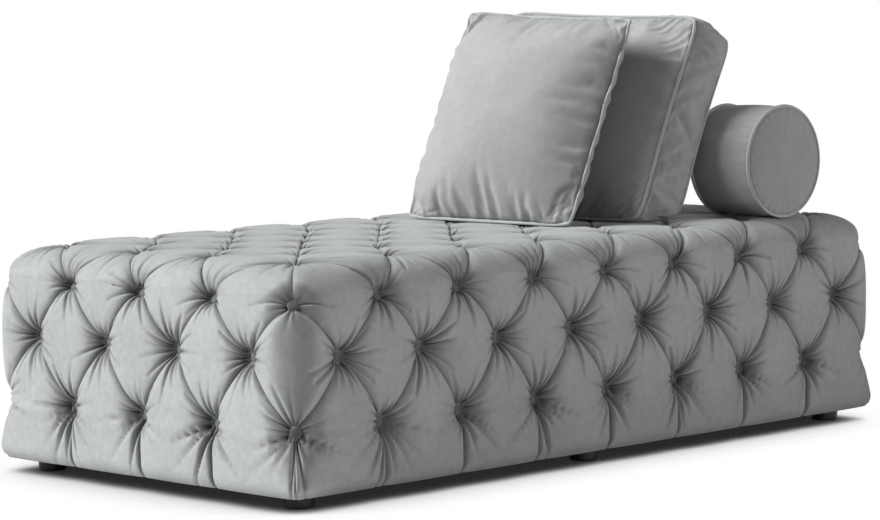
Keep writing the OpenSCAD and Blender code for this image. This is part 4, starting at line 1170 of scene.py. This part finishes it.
def boxed_places(u, v, n, bulge, less):
    """Point of the boxed cushion's layer n back, bulging by the crown, less smaller all round."""
    across, up = rounded(u, v, CORNER_SHARE)
    w = (BACK_W - 2 * less) / 2 * across * (1 - DRAW * (1 - v * v))
    foot = n * math.tan(LEAN) + less
    h = mix(foot, BACK_H - less - BACK_H * DRAW / 2 * (1 - u * u), (1 + up) / 2)
    return leaning(w, sloped(w, h, BACK_W, BACK_H, 0.005, -0.011), n + bulge * pad_crown(u, v), BACK_ORIGIN)


def boxed_body(less, count, band_rows):
    """Front grid, band rings and rear grid as one closed form: points, faces, numbers of the two seams."""
    step = crowded(count)
    u, v = np.meshgrid(step, step)
    edge = np.maximum(np.abs(u), np.abs(v))
    puckers = 0.003 * ripple(4 * (u + v), 2.6, 13) * np.exp(-(1 - edge) / 0.12) * (edge < 1) * (less == 0)
    front = boxed_places(u, v, less - puckers, -FRONT_CROWN, less)
    rear = boxed_places(u, v, BACK_T - less + puckers, REAR_CROWN, less)
    loop_u, loop_v = square_path(count)
    m = len(loop_u)
    share = np.linspace(0, 1, band_rows + 2)[:, None]
    place_s = np.arange(m) * 4 / m
    slack_band = 0.0035 * ripple(place_s * 6 + 0.8 * share, 1.1, 9) * (less == 0)
    slack_band = slack_band * np.sin(math.pi * share) ** 0.5
    out = less - BAND_CROWN * np.sqrt(np.sin(math.pi * np.clip(share, 0, 1)).clip(0)) - slack_band
    band = boxed_places(loop_u, loop_v, mix(less, BACK_T - less, share), 0, out)
    i, j = np.meshgrid(np.arange(count + 1), np.arange(count + 1))
    on_edge = (i == 0) | (j == 0) | (i == count) | (j == count)
    on_three = [j == 0, i == count, j == count]
    edge_number = np.select(on_three, [i, count + j, 3 * count - i], 4 * count - j) % m
    inside_n = (count - 1) ** 2
    inside_number = np.zeros_like(i)
    inside_number[~on_edge] = (band_rows + 2) * m + np.arange(inside_n)
    front_number = np.where(on_edge, edge_number, inside_number)
    rear_number = np.where(on_edge, (band_rows + 1) * m + edge_number, inside_number + inside_n)
    points = np.concatenate([band.reshape(-1, 3), front[~on_edge], rear[~on_edge]])
    quads = np.concatenate([
        faces_of(front_number), faces_of(rear_number, True), grid_quads(m, band_rows + 2, wrap=True)])
    return points, quads, np.concatenate([np.arange(m), (band_rows + 1) * m + np.arange(m)])


points, quads, seams = boxed_body(0, PAD_STEPS, BAND_ROWS)
points = rested(blow_up(points, quads, seams, spare=0.045, cap=0.018), low_back.z)
# Painted shade beside the band's two seams.
band_shade = seam_painted_shade(np.linspace(-1, 1, BAND_ROWS + 2), 0.06).repeat(4 * PAD_STEPS)
back = piece("back_velvet", points, quads, [], velvet_cushion, "velvet", "back_cushion", "back_cover",
             painted_shade=np.concatenate([band_shade, face_shade[inner], face_shade[inner]]))
slit(back, "back_zip", (0, 1.0, 0), (0, 0, 1.0))
points, quads, _ = boxed_body(0.015, PAD_STEPS // 2, BAND_ROWS // 2)
points = rested(points, low_back.z + ZIP_ROOM)
back_filling = piece("back_filling", points, quads, [], FINISHES["wadding"], "wadding", "back_cushion",
                     "back_insert")
for label, layer in (("front", 0), ("rear", BACK_T)):
    path = boxed_places(path_u, path_v, layer, 0, 0)
    pipe(f"back_{label}_pipe", path, LEAN_NORMAL, "back_cushion", f"back_{label}_piping")

# %% [markdown]
# ## Bolster
# A short fat roll: a tube, two discs and a ring of piping round each. The tube's cloth is a little gathered
# into both rings, and each disc is slightly domed. All of it is turned about the roll's own axis, which
# lies across the couch.

# %% Bolster
ROLL_R = 0.115
ROLL_L = 0.158
END_DOME = 0.009
ROLL_RINGS = 25
DISC_RINGS = 20
low_tube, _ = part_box("bolster_tube")
ROLL_AXIS = np.array([(low_roll.x + high_roll.x) / 2, low_tube.y, (low_roll.z + high_roll.z) / 2])
ROLL_SIDES = 192
turn = math.tau * np.arange(ROLL_SIDES) / ROLL_SIDES
DISC_SHARES = np.sin(math.pi / 2 * np.linspace(0, 1, DISC_RINGS + 2)[1:-1])


def laid(radius, angle, length_along):
    """Point of the roll at a radius and an angle about its axis, and so far along it."""
    radius, angle, length_along = np.broadcast_arrays(radius, angle, length_along)
    return ROLL_AXIS + np.stack([radius * np.cos(angle), length_along, radius * np.sin(angle)], -1)


def roll_body(less, end):
    """Closed drum: a tube with gathers and two domed discs, less smaller all round."""
    share = np.linspace(0, 1, ROLL_RINGS)[:, None]
    near_ring = np.exp(-share / 0.12) + np.exp(-(1 - share) / 0.12)
    gathers = 0.0016 * ripple(turn, 0.4, 37) * near_ring * (1 - np.exp(-np.minimum(share, 1 - share) / 0.03))
    slack_roll = 0.0018 * ripple(turn, 2.2, 11) * np.sin(math.pi * share)
    radius = ROLL_R - less + 0.003 * np.sin(math.pi * share) + (gathers + slack_roll) * (less == 0)
    tube = laid(radius, turn, less + share * (ROLL_L - 2 * less))
    inward = DISC_SHARES[::-1, None]
    pucker = 0.0012 * ripple(turn, 1.9, 31) * np.exp(-(1 - inward) / 0.1) * (less == 0)
    depth = end * np.sqrt(1 - inward ** 2) + pucker
    near_disc = laid((ROLL_R - less) * inward, turn, less - depth)
    far_disc = laid((ROLL_R - less) * inward, turn, ROLL_L - less + depth)
    rings_all = np.concatenate([near_disc[::-1], tube, far_disc]).reshape(-1, 3)
    poles = laid(np.zeros(2), np.zeros(2), np.array([less - end, ROLL_L - less + end]))
    quads = grid_quads(ROLL_SIDES, ROLL_RINGS + 2 * DISC_RINGS, wrap=True)[:, ::-1]
    return np.concatenate([rings_all, poles]), quads, pole_fans(ROLL_SIDES, len(rings_all), True)


ROLL_ZIP = ("bolster_zip", (0, 1.0, 0), (-math.sqrt(0.5), 0, math.sqrt(0.5)))
points, quads, fans = roll_body(0, END_DOME)
# Painted shade beside the seams of the discs and the tube.
disc_shade = seam_painted_shade(DISC_SHARES, 0.02)
tube_shade = seam_painted_shade(np.linspace(-1, 1, ROLL_RINGS), 0.04)
painted_shade = np.concatenate([disc_shade, tube_shade, disc_shade[::-1]]).repeat(ROLL_SIDES)
painted_shade = np.concatenate([painted_shade, np.zeros(2)])
roll = piece("bolster_velvet", points, quads, fans, velvet_cushion, "velvet", "bolster",
             "bolster_tube", "bolster_end_near", "bolster_end_far", painted_shade=painted_shade)
slit(roll, *ROLL_ZIP)
points, quads, fans = roll_body(0.0045, 0.004)
roll_filling = piece("bolster_filling", points, quads, fans, FINISHES["wadding"], "wadding", "bolster",
                     "bolster_core")
slit(roll_filling, *ROLL_ZIP)

# %% Bolster piping
radius = ROLL_R + PIPE_R / 2 + PIPE_R * np.cos(PIPE_ANGLE)
tubes = [laid(radius, turn[:, None], at + PIPE_R * np.sin(PIPE_ANGLE)).reshape(-1, 3) for at in (0, ROLL_L)]
one = grid_quads(PIPE_SIDES, ROLL_SIDES, wrap=True, closed=True)[:, ::-1]
piece("bolster_pipes", np.concatenate(tubes), np.concatenate([one, one + len(tubes[0])]), [],
      velvet_piping, "velvet_piping", "bolster", "bolster_piping")

# %% [markdown]
# ## Dust cover
# Black cloth is stapled under the frame to keep dust and straw in. It is one thin sheet, stretched flat,
# with hardly a ripple.

# %% Dust cover
low_dust, high_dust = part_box("dust_cover")
SHEET_GRID = (65, 33)
sheet_x, sheet_y = np.meshgrid(
    np.linspace(low_dust.x, high_dust.x, SHEET_GRID[0]), np.linspace(low_dust.y, high_dust.y, SHEET_GRID[1]))
hang = 0.0002 * np.sin(9 * sheet_x) * np.sin(13 * sheet_y)
sheet_points = np.stack([sheet_x, sheet_y, (low_dust.z + high_dust.z) / 2 + hang], -1).reshape(-1, 3)
dust = piece("dust_sheet", sheet_points, grid_quads(*SHEET_GRID)[:, ::-1], [], FINISHES["dust_cloth"],
             "dust_cloth", "base", "dust_cover")

# %% [markdown]
# ## Finishes for the frame
# The wooden frame, the foam, the fixings and the feet keep their CAD shapes, because those are already
# right. The start of each node's name picks its finish from a table, and any other node gets velvet.

# %% Frame finishes
FINISH_OF = {
    "timber": ("corner_post", "centre_post", "centre_stretcher", "side_ledgers", "end_ledgers", "cross_rail"),
    "plywood": ("seat_deck", "side_panel", "end_panel"),
    "foam": ("seat_foam", "side_foam", "end_foam"),
    "twine": ("top_twines", "side_twines"),
    "zinc": ("top_washers", "side_washers", "frame_screws", "foot_bolts", "foot_t_nuts"),
    "zip_metal": ("pillow_zip_slider", "back_zip_slider", "bolster_zip_slider"),
    "zip_tape": ("pillow_zip", "back_zip", "bolster_zip"),
    "foot_black": ("foot_foot", "foot_middle", "foot_head"),
}
for name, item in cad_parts.items():
    found = [label for label, starts in FINISH_OF.items() if name.startswith(starts)]
    item.data.materials.clear()
    item.data.materials.append(FINISHES[found[0]] if found else velvet)
    print(name, "->", found[0] if found else "velvet")

# %% [markdown]
# ## Floor and light
# A white floor and a white surround give the plain catalogue background. The picture has no cast shadow,
# only a soft dark strip under the couch, so the floor that the camera sees glows white and is dimmed where
# little of the open room reaches it. For the soft light that the floor throws back it is a plain grey
# instead. One broad key light from the upper left of the picture models the puffs and leaves the long side
# in half shade. A wide front light and a faint one from behind keep the other sides readable.

# %% Stage
FLOOR_HALF = 30
FLOOR_GREY = (0.62, 0.62, 0.62, 1)
WHITE = (1, 1, 1, 1)
floor_corners = [(x * FLOOR_HALF, y * FLOOR_HALF, 0) for x, y in ((-1, -1), (1, -1), (1, 1), (-1, 1))]
floor_mesh = bpy.data.meshes.new("floor")
floor_mesh.from_pydata(floor_corners, [], [(0, 1, 2, 3)])
floor = add_object("floor", floor_mesh)
floor_material = bpy.data.materials.new("floor")
floor_material.use_nodes = True
floor_tree = floor_material.node_tree
floor_shader = floor_tree.nodes["Principled BSDF"]
floor_shader.inputs["Base Color"].default_value = FLOOR_GREY
floor_shader.inputs["Roughness"].default_value = 1
floor_shader.inputs["Specular IOR Level"].default_value = 0
floor_mesh.materials.append(floor_material)


def seen_share(tree):
    """1 for rays from the camera, glossy and transmitted rays, 0 for the rays that carry soft light."""
    path = place(tree, "ShaderNodeLightPath").outputs
    seen = math_node(tree, "MAXIMUM", path["Is Camera Ray"], path["Is Glossy Ray"])
    return math_node(tree, "MAXIMUM", seen, path["Is Transmission Ray"])


# Painted contact shadow: the white glow that the camera sees is dimmed by ambient occlusion near the couch.
open_share = place(floor_tree, "ShaderNodeAmbientOcclusion", {"Distance": 0.3}, samples=10).outputs["AO"]
shown = place(floor_tree, "ShaderNodeMapRange", {
    "Value": open_share, "From Min": 0.16, "From Max": 0.64, "To Min": 0.02, "To Max": 1.0}).outputs[0]
glow = place(floor_tree, "ShaderNodeEmission", {"Color": WHITE, "Strength": shown}).outputs[0]
either = place(floor_tree, "ShaderNodeMixShader", {
    0: seen_share(floor_tree), 1: floor_shader.outputs[0], 2: glow})
floor_tree.links.new(either.outputs[0], floor_tree.nodes["Material Output"].inputs["Surface"])


def lamp(name, towards, strength, softness):
    """A far lamp that shines from a direction, with a soft edge of so many degrees."""
    data = bpy.data.lights.new(name, "SUN")
    data.energy = strength
    data.angle = math.radians(softness)
    add_object(name, data).rotation_euler = Vector(towards).to_track_quat("Z", "Y").to_euler()


lamp("key", (-0.69, 0.47, 0.55), 4.75, 30)
lamp("front", (-0.06, -0.96, 0.28), 0.95, 30)
lamp("back", (0.6, 0.75, 0.3), 0.35, 40)

# %% Surround
UNSEEN_STRENGTH = 0.09
world = bpy.data.worlds.new("surround")
bpy.context.scene.world = world
world.use_nodes = True
tree = world.node_tree
strength = place(tree, "ShaderNodeMapRange", {
    "Value": seen_share(tree), "To Min": UNSEEN_STRENGTH, "To Max": 1.0}).outputs[0]
tree.links.new(strength, tree.nodes["Background"].inputs["Strength"])
tree.nodes["Background"].inputs["Color"].default_value = WHITE
